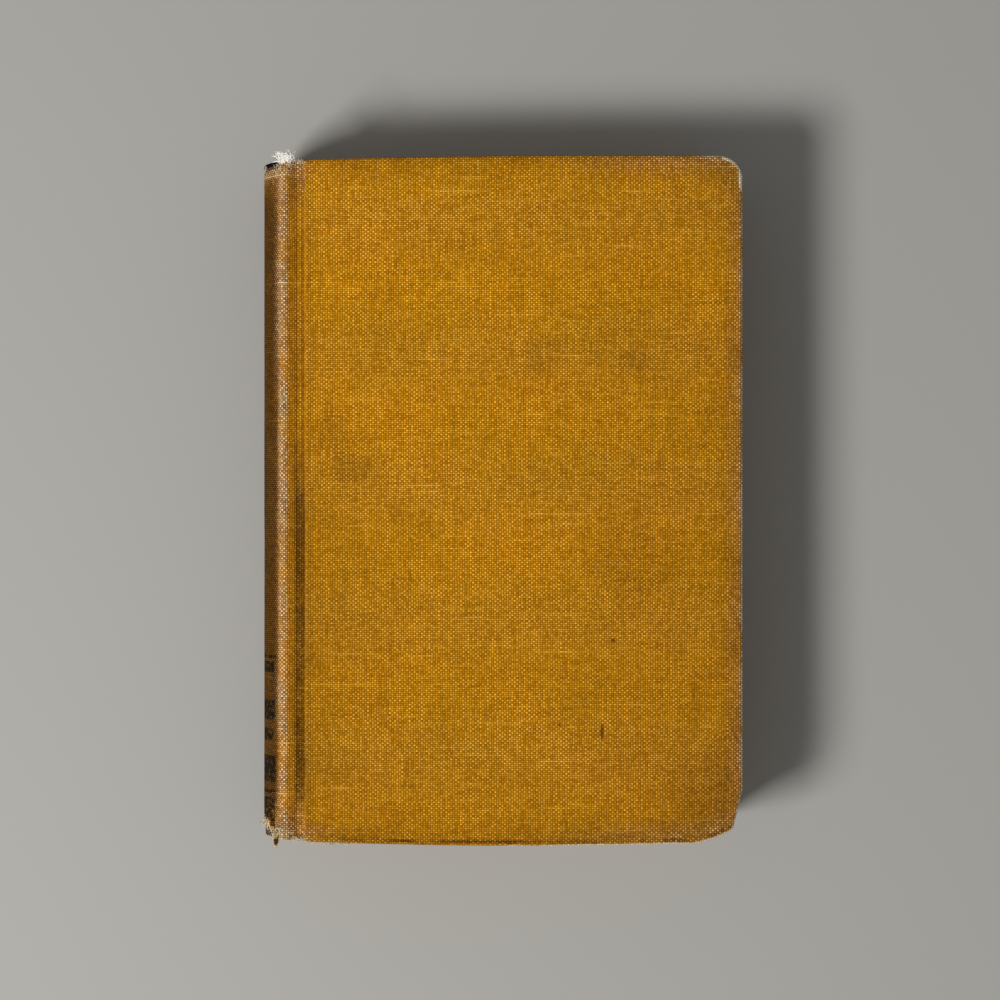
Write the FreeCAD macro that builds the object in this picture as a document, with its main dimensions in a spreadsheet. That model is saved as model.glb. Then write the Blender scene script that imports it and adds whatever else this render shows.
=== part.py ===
"""A worn cloth-bound hardback book, closed and lying on its front cover, in millimetres.

The frame: +Z is up, +Y is towards the tail (foot) of the book and -Y towards its head, and the spine is
on the -X side. The origin is the middle of the footprint, on the surface that the book lies on. The back
cover is on top, and the front cover is its mirror image below. A case binding has two boards and a spine
card inside one sheet of cloth. A strip of gauze and the endpapers hold this case to a sewn, rounded and
backed block of leaves. Each cover turns about the outside of its own joint, the groove beside the spine.
"""
import FreeCAD, Part

import math
import os

import Sketcher
from FreeCAD import Rotation, Vector

SIZES = [
    ("cover_height", 195.0, "covers from head to tail, with their cloth"),
    ("cover_width", 123.6, "covers from the joint to the fore edge, with their cloth"),
    ("spine_reach", 12.6, "from the joint side of the covers to the furthest point of the spine"),
    ("leaves_thickness", 25.1, "the sewn block of leaves, without its endpapers"),
    ("board_thickness", 2.3, "greyboard in each cover"),
    ("cloth_thickness", 0.4, "book cloth"),
    ("paper_thickness", 0.15, "endpaper"),
    ("mull_thickness", 0.2, "glued gauze on the back of the block and under the pastedowns"),
    ("lining_thickness", 0.2, "kraft paper over the gauze"),
    ("card_thickness", 0.5, "stiffener card inside the spine cloth"),
    ("hollow_gap", 0.3, "free gap between the case and the lining, along the spine"),
    ("cover_gap", 0.05, "free gap between a closed cover and the flyleaf"),
    ("hinge_gap", 0.15, "free gap from a hinge line to the stiff cloth on each side"),
    ("square", 3.0, "overhang of the covers past the leaves at head and tail"),
    ("fore_square", 3.5, "overhang of the covers past the leaves at the fore edge"),
    ("joint_drop", 1.2, "how far the head and tail edges of a cover fall back at the joint"),
    ("tail_drop", 0.2, "how far the tail edge falls back at the fore edge"),
    ("tail_swell", 0.6, "how far the tail edge swells at mid width, from the line between its ends"),
    ("bump_drop", 0.6, "how far the head edge falls back where its bumped stretch begins"),
    ("head_swell", 0.9, "how far the head edge swells at mid width, from the line between its ends"),
    ("tail_corner", 6.5, "radius of the fore corner at the tail, rubbed round"),
    ("head_corner", 3.5, "radius of the fore corner at the head, inside its bumped stretch"),
    ("bump_up", 15.5, "bumped stretch of the fore edge, up from the head corner"),
    ("bump_along", 19.5, "bumped stretch of the head edge, along from the fore corner"),
    ("bump_in", 2.7, "how far the head corner is pushed in from the fore edge"),
    ("bump_lift", 4.1, "how far the head corner is pushed in from the head edge"),
    ("leaf_bump", 0.7, "from the bumped corner of a cover back to that of the leaves"),
    ("edge_round", 0.8, "rounding of the cloth over the outer board edges"),
    ("groove_depth", 1.7, "depth of the joint below the face of the cover"),
    ("hinge_setback", 1.2, "from the joint side of a cover back to its hinge line"),
    ("groove_turn", 0.9, "mid radius of the cloth's turn out of the joint"),
    ("groove_floor", 1.1, "from the hinge line to where that turn begins"),
    ("crest_round", 1.9, "mid radius of the cloth over a shoulder of the block"),
    ("crest_drop", 0.35, "from the face of a cover down to the crest of the shoulder"),
    ("crest_setback", 4.3, "from the hinge line back to the middle of the crest"),
    ("chord_setback", 1.2, "from the middle of the crest back to the chord of the round spine"),
    ("shoulder_drop", 1.3, "from the face of a cover down to that chord's end"),
    ("cap_inset", 0.4, "how much shorter the spine cloth is than the covers at the joint, at each end"),
    ("cap_wear", 2.2, "depth to which the cloth is worn away over the crown of the spine, at each end"),
    ("cap_wear_margin", 2.5, "from the end of this wear to the long edge of the spine card"),
    ("spine_turn_in", 13.0, "cloth folded over the inside of the spine card"),
    ("mull_inset", 12.0, "from the end of the leaves to the end of the gauze"),
    ("lining_inset", 2.0, "from the end of the leaves to the end of the lining"),
    ("shoulder_height", 1.7, "how far the backed shoulders stand out past the face of the leaves"),
    ("shoulder_foot", 1.9, "from the tip of a shoulder to its foot, along the leaves"),
    ("fore_hollow", 4.2, "depth of the hollow fore edge"),
    ("turn_in", 15.0, "cloth folded over the inside of the boards"),
    ("paste_margin", 4.0, "cloth left showing round a pastedown"),
    ("mull_flap", 22.0, "gauze glued on the inside of each board, past the joint"),
    ("fly_margin", 0.4, "how much smaller a flyleaf is than the leaves"),
    ("stitch_width", 0.8, "width of a row of sewing thread"),
    ("stitch_depth", 0.35, "depth of a row of sewing thread in the folds"),
    ("kettle_inset", 14.0, "from the end of the leaves to the first row of sewing thread"),
    ("stitch_rows", 6, "rows of sewing thread"),
    ("band_radius", 0.7, "radius of the head and tail bands"),
]

# Places worked out from the sizes. Levels are those of the back cover, from its outer face down, and the
# radii are those of the round spine, from the face of its cloth inwards, all about one axis along the book.
PLACES = [
    ("stack", "2 * Sizes.cloth_thickness + Sizes.board_thickness + Sizes.paper_thickness"),
    ("top", "2 * (Places.stack + Sizes.cover_gap + Sizes.paper_thickness) + Sizes.leaves_thickness"),
    ("middle", "Places.top / 2"),
    ("board_out", "Places.top - Sizes.cloth_thickness"),
    ("board_in", "Places.board_out - Sizes.board_thickness"),
    ("turned", "Places.board_in - Sizes.cloth_thickness"),
    ("pasted", "Places.turned - Sizes.paper_thickness"),
    ("fly_top", "Places.pasted - Sizes.cover_gap"),
    ("leaf_top", "Places.fly_top - Sizes.paper_thickness"),
    ("joint_face", "Places.top - Sizes.groove_depth"),
    ("fore", "(Sizes.cover_width + Sizes.spine_reach) / 2"),
    ("joint", "Sizes.spine_reach - Places.fore"),
    ("hinge", "Places.joint - Sizes.hinge_setback"),
    ("leaf_fore", "Places.fore - Sizes.fore_square"),
    ("cover_end", "Sizes.cover_height / 2"),
    ("joint_end", "Places.cover_end - Sizes.joint_drop"),
    ("tail_end", "Places.cover_end - Sizes.tail_drop"),
    ("bump_end", "Places.cover_end - Sizes.bump_drop"),
    ("cap_end", "Places.joint_end - Sizes.cap_inset"),
    ("leaf_end", "Places.cover_end - Sizes.square"),
    ("crest", "Places.hinge - Sizes.crest_setback"),
    ("chord", "Places.middle - Sizes.shoulder_drop"),
    ("rise", "Places.crest - Sizes.chord_setback + Places.fore"),
    ("spine_radius", "(Places.chord ^ 2 + Places.rise ^ 2) / (2 * Places.rise)"),
    ("card_radius", "Places.spine_radius - Sizes.cloth_thickness"),
    ("card_inner", "Places.card_radius - Sizes.card_thickness"),
    ("turn_radius", "Places.card_inner - Sizes.cloth_thickness"),
    ("lining_radius", "Places.turn_radius - Sizes.hollow_gap"),
    ("mull_radius", "Places.lining_radius - Sizes.lining_thickness"),
    ("leaf_radius", "Places.mull_radius - Sizes.mull_thickness"),
    ("axis", "Places.spine_radius - Places.fore"),
    ("tip_height", "Sizes.leaves_thickness / 2 + Sizes.shoulder_height"),
    ("tip_share", "Places.tip_height / Places.leaf_radius"),
    ("foot", "Places.axis - Places.leaf_radius * cos(asin(Places.tip_share)) + Sizes.shoulder_foot"),
    ("card_share", "(Places.chord - Sizes.crest_round) / Places.spine_radius"),
    ("stitch_share", "Places.tip_share * (1 - Sizes.stitch_width / Places.tip_height)"),
    ("wear_reach", "Places.turn_radius * Places.card_share - Sizes.cap_wear_margin"),
    ("wear_radius", "(Places.wear_reach ^ 2 + Sizes.cap_wear ^ 2) / (2 * Sizes.cap_wear)"),
]

CLOSE = 1e-4  # how near to a face or corner an edge counts as lying on it

doc = FreeCAD.newDocument("hardback_book")
sheet = doc.addObject("Spreadsheet::Sheet", "Sizes")
for row, (alias, value, note) in enumerate(SIZES, start=1):
    sheet.set(f"A{row}", alias)
    sheet.set(f"B{row}", str(value))
    sheet.set(f"C{row}", note)
    sheet.setAlias(f"B{row}", alias)
doc.recompute()

places = doc.addObject("App::VarSet", "Places")
for name, formula in PLACES:
    places.addProperty("App::PropertyFloat", name)
    places.setExpression(name, formula)
doc.recompute()


def number(formula):
    """The value of a formula of sizes and places."""
    found = sheet.evalExpression(formula)
    return float(getattr(found, "Value", found))


def new_body(label):
    """An empty body with its own label."""
    body = doc.addObject("PartDesign::Body", label)
    body.Label = label
    return body


def new_sketch(body, plane):
    """An empty sketch on one of the body's own origin planes."""
    sketch = body.newObject("Sketcher::SketchObject", body.Name + "_profile")
    origin = [feature for feature in body.Origin.OriginFeatures if feature.Role == plane][0]
    sketch.AttachmentSupport = [(origin, "")]
    sketch.MapMode = "FlatFace"
    return sketch


def bind(sketch, constraint, formula):
    """Adds a constraint and binds its value to a formula."""
    index = sketch.addConstraint(constraint)
    sketch.setExpression(f"Constraints[{index}]", formula)


def end_at(sketch, edge, point):
    """Which end of an edge lies at a point: 1 for its start, 2 for its end."""
    return min((1, 2), key=lambda which: sketch.getPoint(edge, which).distanceToPoint(point))


def pin(sketch, edge, which, across, up):
    """Fixes one point of an edge by two formulas, measured from the sketch's origin."""
    bind(sketch, Sketcher.Constraint("DistanceX", -1, 1, edge, which, number(across)), across)
    bind(sketch, Sketcher.Constraint("DistanceY", -1, 1, edge, which, number(up)), up)


def draw(sketch, corners):
    """Draws a closed profile, every corner and radius bound to its formula.

    A corner is (across, up) where a straight edge leaves it, or (across, up, radius, side) where a round one
    does, which bulges to the left of the way round for side 1 and to the right for side -1.
    """
    points = [Vector(number(corner[0]), number(corner[1]), 0) for corner in corners]
    for corner, here, there in zip(corners, points, points[1:] + points[:1]):
        if len(corner) == 2:
            sketch.addGeometry(Part.LineSegment(here, there), False)
            continue
        radius, side = number(corner[2]), corner[3]
        half = (there - here) / 2
        outward = Vector(-half.y, half.x, 0).normalize() * side
        rise = radius - math.sqrt(radius**2 - half.Length**2)
        sketch.addGeometry(Part.Arc(here, here + half + outward * rise, there), False)
    for edge, (corner, point) in enumerate(zip(corners, points)):
        before = (edge - 1) % len(corners)
        here = end_at(sketch, edge, point)
        sketch.addConstraint(
            Sketcher.Constraint("Coincident", before, end_at(sketch, before, point), edge, here)
        )
        pin(sketch, edge, here, corner[0], corner[1])
        if len(corner) > 2:
            bind(sketch, Sketcher.Constraint("Radius", edge, number(corner[2])), corner[2])


def tangent_run(first, second):
    """The straight run from one turn to the next, each (centre, radius), with radii to the left above 0."""
    apart = second[0] - first[0]
    heading = math.atan2(apart.y, apart.x) - math.asin((second[1] - first[1]) / apart.Length)
    left = Vector(-math.sin(heading), math.cos(heading), 0)
    return first[0] - left * first[1], second[0] - left * second[1]


def level_run(start, turn):
    """The straight run, level across the sketch, between the place start and a turn (centre, radius)."""
    across = math.copysign(1, turn[0].x - start)
    height = turn[0].y - across * turn[1]
    return Vector(start, height, 0), Vector(turn[0].x, height, 0)


def draw_band(sketch, start, end, turns, thickness):
    """Draws a strip of even thickness along a path of straight runs and round turns.

    start and end are the formulas of the path's two ends across the sketch, where it runs level. Each turn is
    (across, up, radius, side): its centre, its radius at mid thickness, and 1 to the left or -1 to the right.
    """
    ends = []
    for shift in (1, -1):
        radii = [f"{turn[2]} + {turn[3] * shift} * {thickness} / 2" for turn in turns]
        circles = [
            (Vector(number(across), number(up), 0), side * number(radius))
            for (across, up, _, side), radius in zip(turns, radii)
        ]
        runs = [level_run(number(start), circles[0])]
        runs += [tangent_run(a, b) for a, b in zip(circles, circles[1:])]
        runs.append(level_run(number(end), (circles[-1][0], -circles[-1][1]))[::-1])
        first = sketch.addGeometry(Part.LineSegment(*runs[0]), False)
        ends.append((first, 1))
        bind(sketch, Sketcher.Constraint("DistanceX", -1, 1, first, 1, number(start)), start)
        sketch.addConstraint(Sketcher.Constraint("Horizontal", first))
        edge = first
        for turn, radius, circle, before, after in zip(turns, radii, circles, runs, runs[1:]):
            outward = ((before[1] + after[0]) / 2 - circle[0]).normalize() * abs(circle[1])
            bend = sketch.addGeometry(Part.Arc(before[1], circle[0] + outward, after[0]), False)
            sketch.addConstraint(
                Sketcher.Constraint("Tangent", edge, 2, bend, end_at(sketch, bend, before[1]))
            )
            pin(sketch, bend, 3, turn[0], turn[1])
            bind(sketch, Sketcher.Constraint("Radius", bend, number(radius)), radius)
            edge = sketch.addGeometry(Part.LineSegment(*after), False)
            sketch.addConstraint(
                Sketcher.Constraint("Tangent", bend, end_at(sketch, bend, after[0]), edge, 1)
            )
        bind(sketch, Sketcher.Constraint("DistanceX", -1, 1, edge, 2, number(end)), end)
        sketch.addConstraint(Sketcher.Constraint("Horizontal", edge))
        ends.append((edge, 2))
    for one, other in ((0, 2), (1, 3)):
        cap = sketch.addGeometry(
            Part.LineSegment(sketch.getPoint(*ends[one]), sketch.getPoint(*ends[other])), False
        )
        sketch.addConstraint(Sketcher.Constraint("Coincident", *ends[one], cap, 1))
        sketch.addConstraint(Sketcher.Constraint("Coincident", *ends[other], cap, 2))


def add_pad(body, sketch, length, symmetric=False):
    """Pads a sketch by a formula, upwards or evenly to both sides."""
    pad = body.newObject("PartDesign::Pad", body.Name + "_pad")
    pad.Profile = sketch
    pad.setExpression("Length", length)
    if symmetric:
        pad.SideType = "Symmetric"
    sketch.Visibility = False
    return pad


def along_book(label, corners, length):
    """A body with one closed profile across the book, padded evenly towards head and tail."""
    body = new_body(label)
    sketch = new_sketch(body, "XZ_Plane")
    draw(sketch, corners)
    add_pad(body, sketch, length, symmetric=True)
    return body


def on_spine(radius, share, side=1):
    """The formulas of a point of a circle round the spine's axis, where share is the sine of its angle."""
    return f"Places.axis - ({radius}) * cos(asin({share}))", f"Places.middle + {side} * ({radius}) * {share}"


def spine_strip(label, inner, outer, share, length):
    """A curved strip on the spine between two radii, out to an angle of this sine on both sides."""
    corners = [
        (*on_spine(inner, share, -1), inner, 1),
        on_spine(inner, share),
        (*on_spine(outer, share), outer, -1),
        on_spine(outer, share, -1),
    ]
    return along_book(label, corners, length)


def edges_where(shape, test):
    """The names of the edges whose ends and middle all pass a test."""
    names = []
    for index, edge in enumerate(shape.Edges, start=1):
        middle = edge.valueAt((edge.FirstParameter + edge.LastParameter) / 2)
        if all(test(point) for point in [vertex.Point for vertex in edge.Vertexes] + [middle]):
            names.append(f"Edge{index}")
    return names


def add_fillet(body, base, test, radius):
    """Rounds those edges of a body's last feature that pass a test, by a formula."""
    doc.recompute()
    fillet = body.newObject("PartDesign::Fillet", body.Name + "_round")
    fillet.Base = (base, edges_where(base.Shape, test))
    fillet.setExpression("Radius", radius)
    return fillet


def swell(chord, rise):
    """The formula of the radius of an arc that rises this far over a chord."""
    return f"((({chord}) ^ 2 / 4 + {rise} ^ 2) / (2 * {rise}))"


def cover_sheet(label, inset, low, thickness, left):
    """A body with the outline of a cover, smaller by inset at head, tail and fore edge.

    It starts at the level low and the place left. Its head and tail edges swell at mid width, its fore corner
    at the tail is rubbed round, and the one at the head is bumped in.
    """
    right = f"(Places.fore - {inset})"
    joint_end = f"(Places.joint_end - {inset})"
    tail = f"(Places.tail_end - {inset})"
    head = f"(Places.bump_end - {inset})"
    body = new_body(label)
    sketch = new_sketch(body, "XY_Plane")
    sketch.setExpression("AttachmentOffset.Base.z", low)
    draw(
        sketch,
        [
            (left, f"-{joint_end}"),
            (left, joint_end, swell(f"{right} - {left}", "Sizes.tail_swell"), 1),
            (right, tail),
            (right, f"Sizes.bump_up - {head}"),
            (f"{right} - Sizes.bump_in", f"Sizes.bump_lift - {head}"),
            (
                f"{right} - Sizes.bump_along",
                f"-{head}",
                swell(f"{right} - Sizes.bump_along - {left}", "Sizes.head_swell"),
                1,
            ),
        ],
    )
    feature = add_pad(body, sketch, thickness)
    fore, tail_line = number(right) - CLOSE, number(tail) - CLOSE
    bump_fore = number(f"{right} - Sizes.bump_in")
    feature = add_fillet(
        body, feature, lambda p: p.x > fore and p.y > tail_line, f"Sizes.tail_corner - {inset}"
    )
    feature = add_fillet(
        body, feature, lambda p: abs(p.x - bump_fore) < CLOSE, f"Sizes.head_corner - {inset}"
    )
    return body, feature


def block(label, low, high):
    """A box between two corners, each three formulas."""
    box = doc.addObject("Part::Box", label)
    for name, axis, start, stop in zip(("Length", "Width", "Height"), "xyz", low, high):
        box.setExpression(name, f"({stop}) - ({start})")
        box.setExpression(f"Placement.Base.{axis}", start)
    return box


def fuse(label, pieces):
    """Several objects as one."""
    result = doc.addObject("Part::MultiFuse", label)
    result.Shapes = pieces
    return result


def cut(label, base, tools):
    """One object less others, taken away one after another."""
    for tool in tools:
        result = doc.addObject("Part::Cut", label if tool is tools[-1] else f"{label}_less_{tool.Name}")
        result.Base = base
        result.Tool = tool
        base = result
    return base


def mirrored(label, source):
    """The front cover's twin of a piece of the back cover."""
    twin = doc.addObject("Part::Mirroring", label)
    twin.Source = source
    twin.Normal = Vector(0, 0, 1)
    twin.setExpression("Base.z", "Places.middle")
    return twin


def make_board():
    """The greyboard of the back cover."""
    body, _ = cover_sheet(
        "back_board",
        "Sizes.cloth_thickness",
        "Places.board_in",
        "Sizes.board_thickness",
        "(Places.joint + Sizes.cloth_thickness)",
    )
    return body


def make_cover_cloth(board):
    """The cloth of the back cover: its face, its edges, its turn-ins and its half of the joint."""
    thickness = "Places.top - Places.turned"
    skin, feature = cover_sheet("back_skin", "0", "Places.turned", thickness, "Places.joint")
    face = places.top - CLOSE
    add_fillet(skin, feature, lambda p: p.z > face, "Sizes.edge_round")
    strip = block(
        "back_joint_strip",
        ("Places.hinge + Sizes.hinge_gap", "-Places.joint_end", "Places.joint_face - Sizes.cloth_thickness"),
        ("Places.joint + Sizes.cloth_thickness", "Places.joint_end", "Places.joint_face"),
    )
    window = block(
        "back_window",
        ("Places.hinge", "Sizes.turn_in - Places.cover_end", "Places.pasted"),
        ("Places.fore - Sizes.turn_in", "Places.cover_end - Sizes.turn_in", "Places.board_in"),
    )
    whole = fuse("back_cloth_whole", [skin, strip])
    return cut("back_cloth", whole, [board, window])


def make_mull_flap():
    """The flap of the gauze that crosses the joint and is glued to the inside of the back board."""
    end = "(Places.leaf_end - Sizes.mull_inset)"
    return block(
        "back_mull_flap",
        ("Places.hinge + Sizes.hinge_gap", f"-{end}", "Places.board_in - Sizes.mull_thickness"),
        ("Places.joint + Sizes.mull_flap", end, "Places.board_in"),
    )


def make_pastedown(cover_cloth, flap):
    """The pasted half of the back endpaper, which steps down from the turn-ins to the board and the gauze."""
    end = "(Places.cover_end - Sizes.paste_margin)"
    well_end = "(Places.cover_end - Sizes.turn_in - Sizes.paper_thickness)"
    step = "Places.joint + Sizes.mull_flap + Sizes.paper_thickness"
    sheet_face = "Places.board_in - Sizes.paper_thickness"
    stock = block(
        "back_paste_stock",
        ("Places.joint", f"-{end}", "Places.pasted"),
        ("Places.fore - Sizes.paste_margin", end, "Places.board_in"),
    )
    well = block(
        "back_paste_well",
        (step, f"-{well_end}", "Places.fly_top"),
        ("Places.fore - Sizes.turn_in - Sizes.paper_thickness", well_end, sheet_face),
    )
    gauze_well = block(
        "back_gauze_well",
        ("Places.hinge", f"-{well_end}", "Places.fly_top"),
        (step, well_end, f"{sheet_face} - Sizes.mull_thickness"),
    )
    return cut("back_pastedown", stock, [cover_cloth, flap, well, gauze_well])


def bumped(label, piece):
    """A piece of the block of leaves, its head fore corner bumped in like those of the covers."""
    outline, _ = cover_sheet(label + "_outline", "Sizes.leaf_bump", "0", "Places.top", "(-Places.fore)")
    result = doc.addObject("Part::Common", label)
    result.Base = piece
    result.Tool = outline
    return result


def make_flyleaf():
    """The free half of the back endpaper, lying on the leaves."""
    end = "(Places.leaf_end - Sizes.fly_margin)"
    leaf = block(
        "square_flyleaf",
        ("Places.foot", f"-{end}", "Places.leaf_top"),
        ("Places.leaf_fore - Sizes.fly_margin", end, "Places.fly_top"),
    )
    return bumped("back_flyleaf", leaf)


def make_thread():
    """Rows of sewing thread, let into the folds across the back of the block."""
    reach = "(Places.leaf_end - Sizes.kettle_inset)"
    ring = spine_strip(
        "thread_ring",
        "Places.leaf_radius - Sizes.stitch_depth",
        "Places.leaf_radius",
        "Places.stitch_share",
        f"2 * {reach} + Sizes.stitch_width",
    )
    rows = []
    for row in range(int(number("Sizes.stitch_rows"))):
        low = f"{reach} * (2 * {row} / (Sizes.stitch_rows - 1) - 1) - Sizes.stitch_width / 2"
        rows.append(
            block(
                f"stitch_row_{row}",
                ("-Places.fore", low, "0"),
                ("Places.hinge", f"{low} + Sizes.stitch_width", "Places.top"),
            )
        )
    thread = doc.addObject("Part::Common", "sewing_thread")
    thread.Base = ring
    thread.Tool = fuse("stitch_rows", rows)
    return thread


def make_leaves(thread):
    """The rounded and backed block of leaves, with a hollow fore edge and kerfs for its sewing thread."""
    tip_across, tip_up = on_spine("Places.leaf_radius", "Places.tip_share")
    low_across, low_up = on_spine("Places.leaf_radius", "Places.tip_share", -1)
    low_leaf = "Places.top - Places.leaf_top"
    hollow = swell("Sizes.leaves_thickness", "Sizes.fore_hollow")
    body = along_book(
        "leaf_block",
        [
            ("Places.foot", "Places.leaf_top"),
            ("Places.leaf_fore", "Places.leaf_top", hollow, -1),
            ("Places.leaf_fore", low_leaf),
            ("Places.foot", low_leaf),
            (low_across, low_up, "Places.leaf_radius", 1),
            (tip_across, tip_up),
        ],
        "2 * Places.leaf_end",
    )
    return bumped("page_block", cut("sewn_leaves", body, [thread]))


def make_spine_cloth(card):
    """The cloth of the spine, from hinge line to hinge line, turned in at both ends over the card.

    At head and tail it is worn away over the crown, which bares the ends of the card.
    """
    body = new_body("spine_sheet")
    floor = "Places.joint_face - Sizes.cloth_thickness / 2"
    groove = ("Places.hinge - Sizes.groove_floor", f"{floor} + Sizes.groove_turn", "Sizes.groove_turn")
    crest = (
        "Places.crest",
        "Places.top - Sizes.crest_drop - Sizes.crest_round - Sizes.cloth_thickness / 2",
        "Sizes.crest_round",
    )
    crown = ("Places.axis", "Places.middle", "(Places.spine_radius - Sizes.cloth_thickness / 2)")
    turns = [(*groove, -1), (*crest, 1), (*crown, 1)]
    turns += [(across, f"Places.top - ({up})", radius, side) for across, up, radius, side in turns[1::-1]]
    sketch = new_sketch(body, "XZ_Plane")
    draw_band(
        sketch,
        "Places.hinge - Sizes.hinge_gap",
        "Places.hinge - Sizes.hinge_gap",
        turns,
        "Sizes.cloth_thickness",
    )
    add_pad(body, sketch, "2 * Places.cap_end", symmetric=True)
    lining = ("Places.turn_radius", "Places.card_radius", "Places.card_share")
    fold = spine_strip("spine_fold", *lining, "2 * Places.cap_end")
    open_length = "2 * (Places.cap_end - Sizes.spine_turn_in)"
    open_part = spine_strip("spine_open", *lining, open_length)
    turn_ins = cut("spine_turn_ins", fold, [open_part])
    return cut("spine_cloth", fuse("spine_cloth_whole", [body, turn_ins]), [card, *worn_caps()])


def worn_caps():
    """The two round bites that wear has taken out of the spine cloth, across its crown at head and tail."""
    bites = []
    for label, side in (("head_wear", -1), ("tail_wear", 1)):
        bite = doc.addObject("Part::Cylinder", label)
        bite.setExpression("Radius", "Places.wear_radius")
        bite.setExpression("Height", "Sizes.spine_reach")
        bite.Placement.Rotation = Rotation(Vector(0, 1, 0), 90)
        bite.setExpression("Placement.Base.x", "-Places.fore - Sizes.cloth_thickness")
        bite.setExpression("Placement.Base.z", "Places.middle")
        middle = f"{side} * (Places.cap_end - Sizes.cap_wear + Places.wear_radius)"
        bite.setExpression("Placement.Base.y", middle)
        bites.append(bite)
    return bites


def make_end_band(label, side):
    """A round cotton band stuck on one end of the leaves, along their rounded back."""
    body = new_body(label)
    sketch = new_sketch(body, "XY_Plane")
    sketch.setExpression("AttachmentOffset.Base.x", "Places.axis")
    sketch.setExpression("AttachmentOffset.Base.z", "Places.middle")
    across = "Sizes.band_radius - Places.leaf_radius"
    along = f"{side} * (Places.leaf_end + Sizes.band_radius)"
    centre = Vector(number(across), number(along), 0)
    ring = sketch.addGeometry(Part.Circle(centre, Vector(0, 0, 1), number("Sizes.band_radius")), False)
    pin(sketch, ring, 3, across, along)
    bind(sketch, Sketcher.Constraint("Radius", ring, number("Sizes.band_radius")), "Sizes.band_radius")
    band = body.newObject("PartDesign::Revolution", label + "_sweep")
    band.Profile = sketch
    band.ReferenceAxis = (sketch, ["V_Axis"])
    band.Midplane = True
    band.setExpression("Angle", "2 * asin(Places.tip_share)")
    sketch.Visibility = False
    return body


back_board = make_board()
back_cloth = make_cover_cloth(back_board)
back_mull_flap = make_mull_flap()
back_pastedown = make_pastedown(back_cloth, back_mull_flap)
back_flyleaf = make_flyleaf()
sewing_thread = make_thread()
spine_card = spine_strip(
    "spine_card",
    "Places.card_inner",
    "Places.card_radius",
    "Places.card_share",
    "2 * (Places.cap_end - Sizes.cloth_thickness)",
)

parts = {
    "back_board": back_board,
    "back_cloth": back_cloth,
    "back_pastedown": back_pastedown,
    "back_mull_flap": back_mull_flap,
    "back_flyleaf": back_flyleaf,
    "front_board": mirrored("front_board", back_board),
    "front_cloth": mirrored("front_cloth", back_cloth),
    "front_pastedown": mirrored("front_pastedown", back_pastedown),
    "front_mull_flap": mirrored("front_mull_flap", back_mull_flap),
    "front_flyleaf": mirrored("front_flyleaf", back_flyleaf),
    "page_block": make_leaves(sewing_thread),
    "sewing_thread": sewing_thread,
    "spine_mull": spine_strip(
        "spine_mull",
        "Places.leaf_radius",
        "Places.mull_radius",
        "Places.tip_share",
        "2 * (Places.leaf_end - Sizes.mull_inset)",
    ),
    "spine_lining": spine_strip(
        "spine_lining",
        "Places.mull_radius",
        "Places.lining_radius",
        "Places.tip_share",
        "2 * (Places.leaf_end - Sizes.lining_inset)",
    ),
    "spine_card": spine_card,
    "spine_cloth": make_spine_cloth(spine_card),
    "head_band": make_end_band("head_band", -1),
    "tail_band": make_end_band("tail_band", 1),
}

doc.recompute()
for item in doc.Objects:
    if "Invalid" in item.State or "Error" in item.State:
        raise RuntimeError(f"{item.Label} did not build: {item.State}")
    if item.TypeId == "Sketcher::SketchObject" and not item.FullyConstrained:
        raise RuntimeError(f"{item.Label} is not fully constrained")
os.makedirs("parts", exist_ok=True)
for node, item in parts.items():
    item.Label = node
    if item.Shape.isNull() or not item.Shape.isValid() or not item.Shape.Solids:
        raise RuntimeError(f"{node} is not a valid solid")
for node, item in parts.items():
    item.Shape.exportStep(f"parts/{node}.step")
    size = item.Shape.BoundBox
    print(f"{node}: {len(item.Shape.Solids)} solid(s), {item.Shape.Volume / 1000:.3f} ml, {size}")
print(f"hinge lines at X {places.hinge:.3f}, Z {places.top:.3f} and 0; {places.top:.3f} thick")
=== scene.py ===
import logging
import math
import random
from bisect import bisect_right
from dataclasses import dataclass, field
from enum import Enum
from typing import Optional, Sequence

import bmesh
import bpy
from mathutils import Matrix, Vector, noise


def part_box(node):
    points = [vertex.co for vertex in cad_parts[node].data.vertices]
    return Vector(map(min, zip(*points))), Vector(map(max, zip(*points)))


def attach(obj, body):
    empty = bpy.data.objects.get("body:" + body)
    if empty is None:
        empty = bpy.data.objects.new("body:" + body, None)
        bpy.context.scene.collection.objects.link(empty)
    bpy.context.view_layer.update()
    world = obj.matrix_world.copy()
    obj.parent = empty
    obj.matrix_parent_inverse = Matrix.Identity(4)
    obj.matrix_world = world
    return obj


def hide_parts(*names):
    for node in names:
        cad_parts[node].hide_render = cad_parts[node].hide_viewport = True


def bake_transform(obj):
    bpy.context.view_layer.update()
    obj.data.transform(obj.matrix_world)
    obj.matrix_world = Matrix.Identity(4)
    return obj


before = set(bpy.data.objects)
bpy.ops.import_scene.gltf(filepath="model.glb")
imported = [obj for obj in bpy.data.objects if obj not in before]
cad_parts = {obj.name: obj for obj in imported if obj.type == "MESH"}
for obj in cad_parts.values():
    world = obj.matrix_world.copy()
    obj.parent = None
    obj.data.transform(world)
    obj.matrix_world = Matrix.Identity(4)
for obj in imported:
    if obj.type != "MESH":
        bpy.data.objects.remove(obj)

log = logging.getLogger("book")

MM = 0.001
ALONG = Vector((0, 1, 0))

Point = tuple[float, float, float]
Colour = tuple[float, float, float]
Socket = bpy.types.NodeSocket
Grid = Sequence[Sequence[int]]


class Half(Enum):
    """Which half of the case a piece belongs to, and which way its outer face looks."""

    BACK = 1
    FRONT = -1


class End(Enum):
    """The two ends of the book along Y."""

    HEAD = -1
    TAIL = 1


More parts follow.
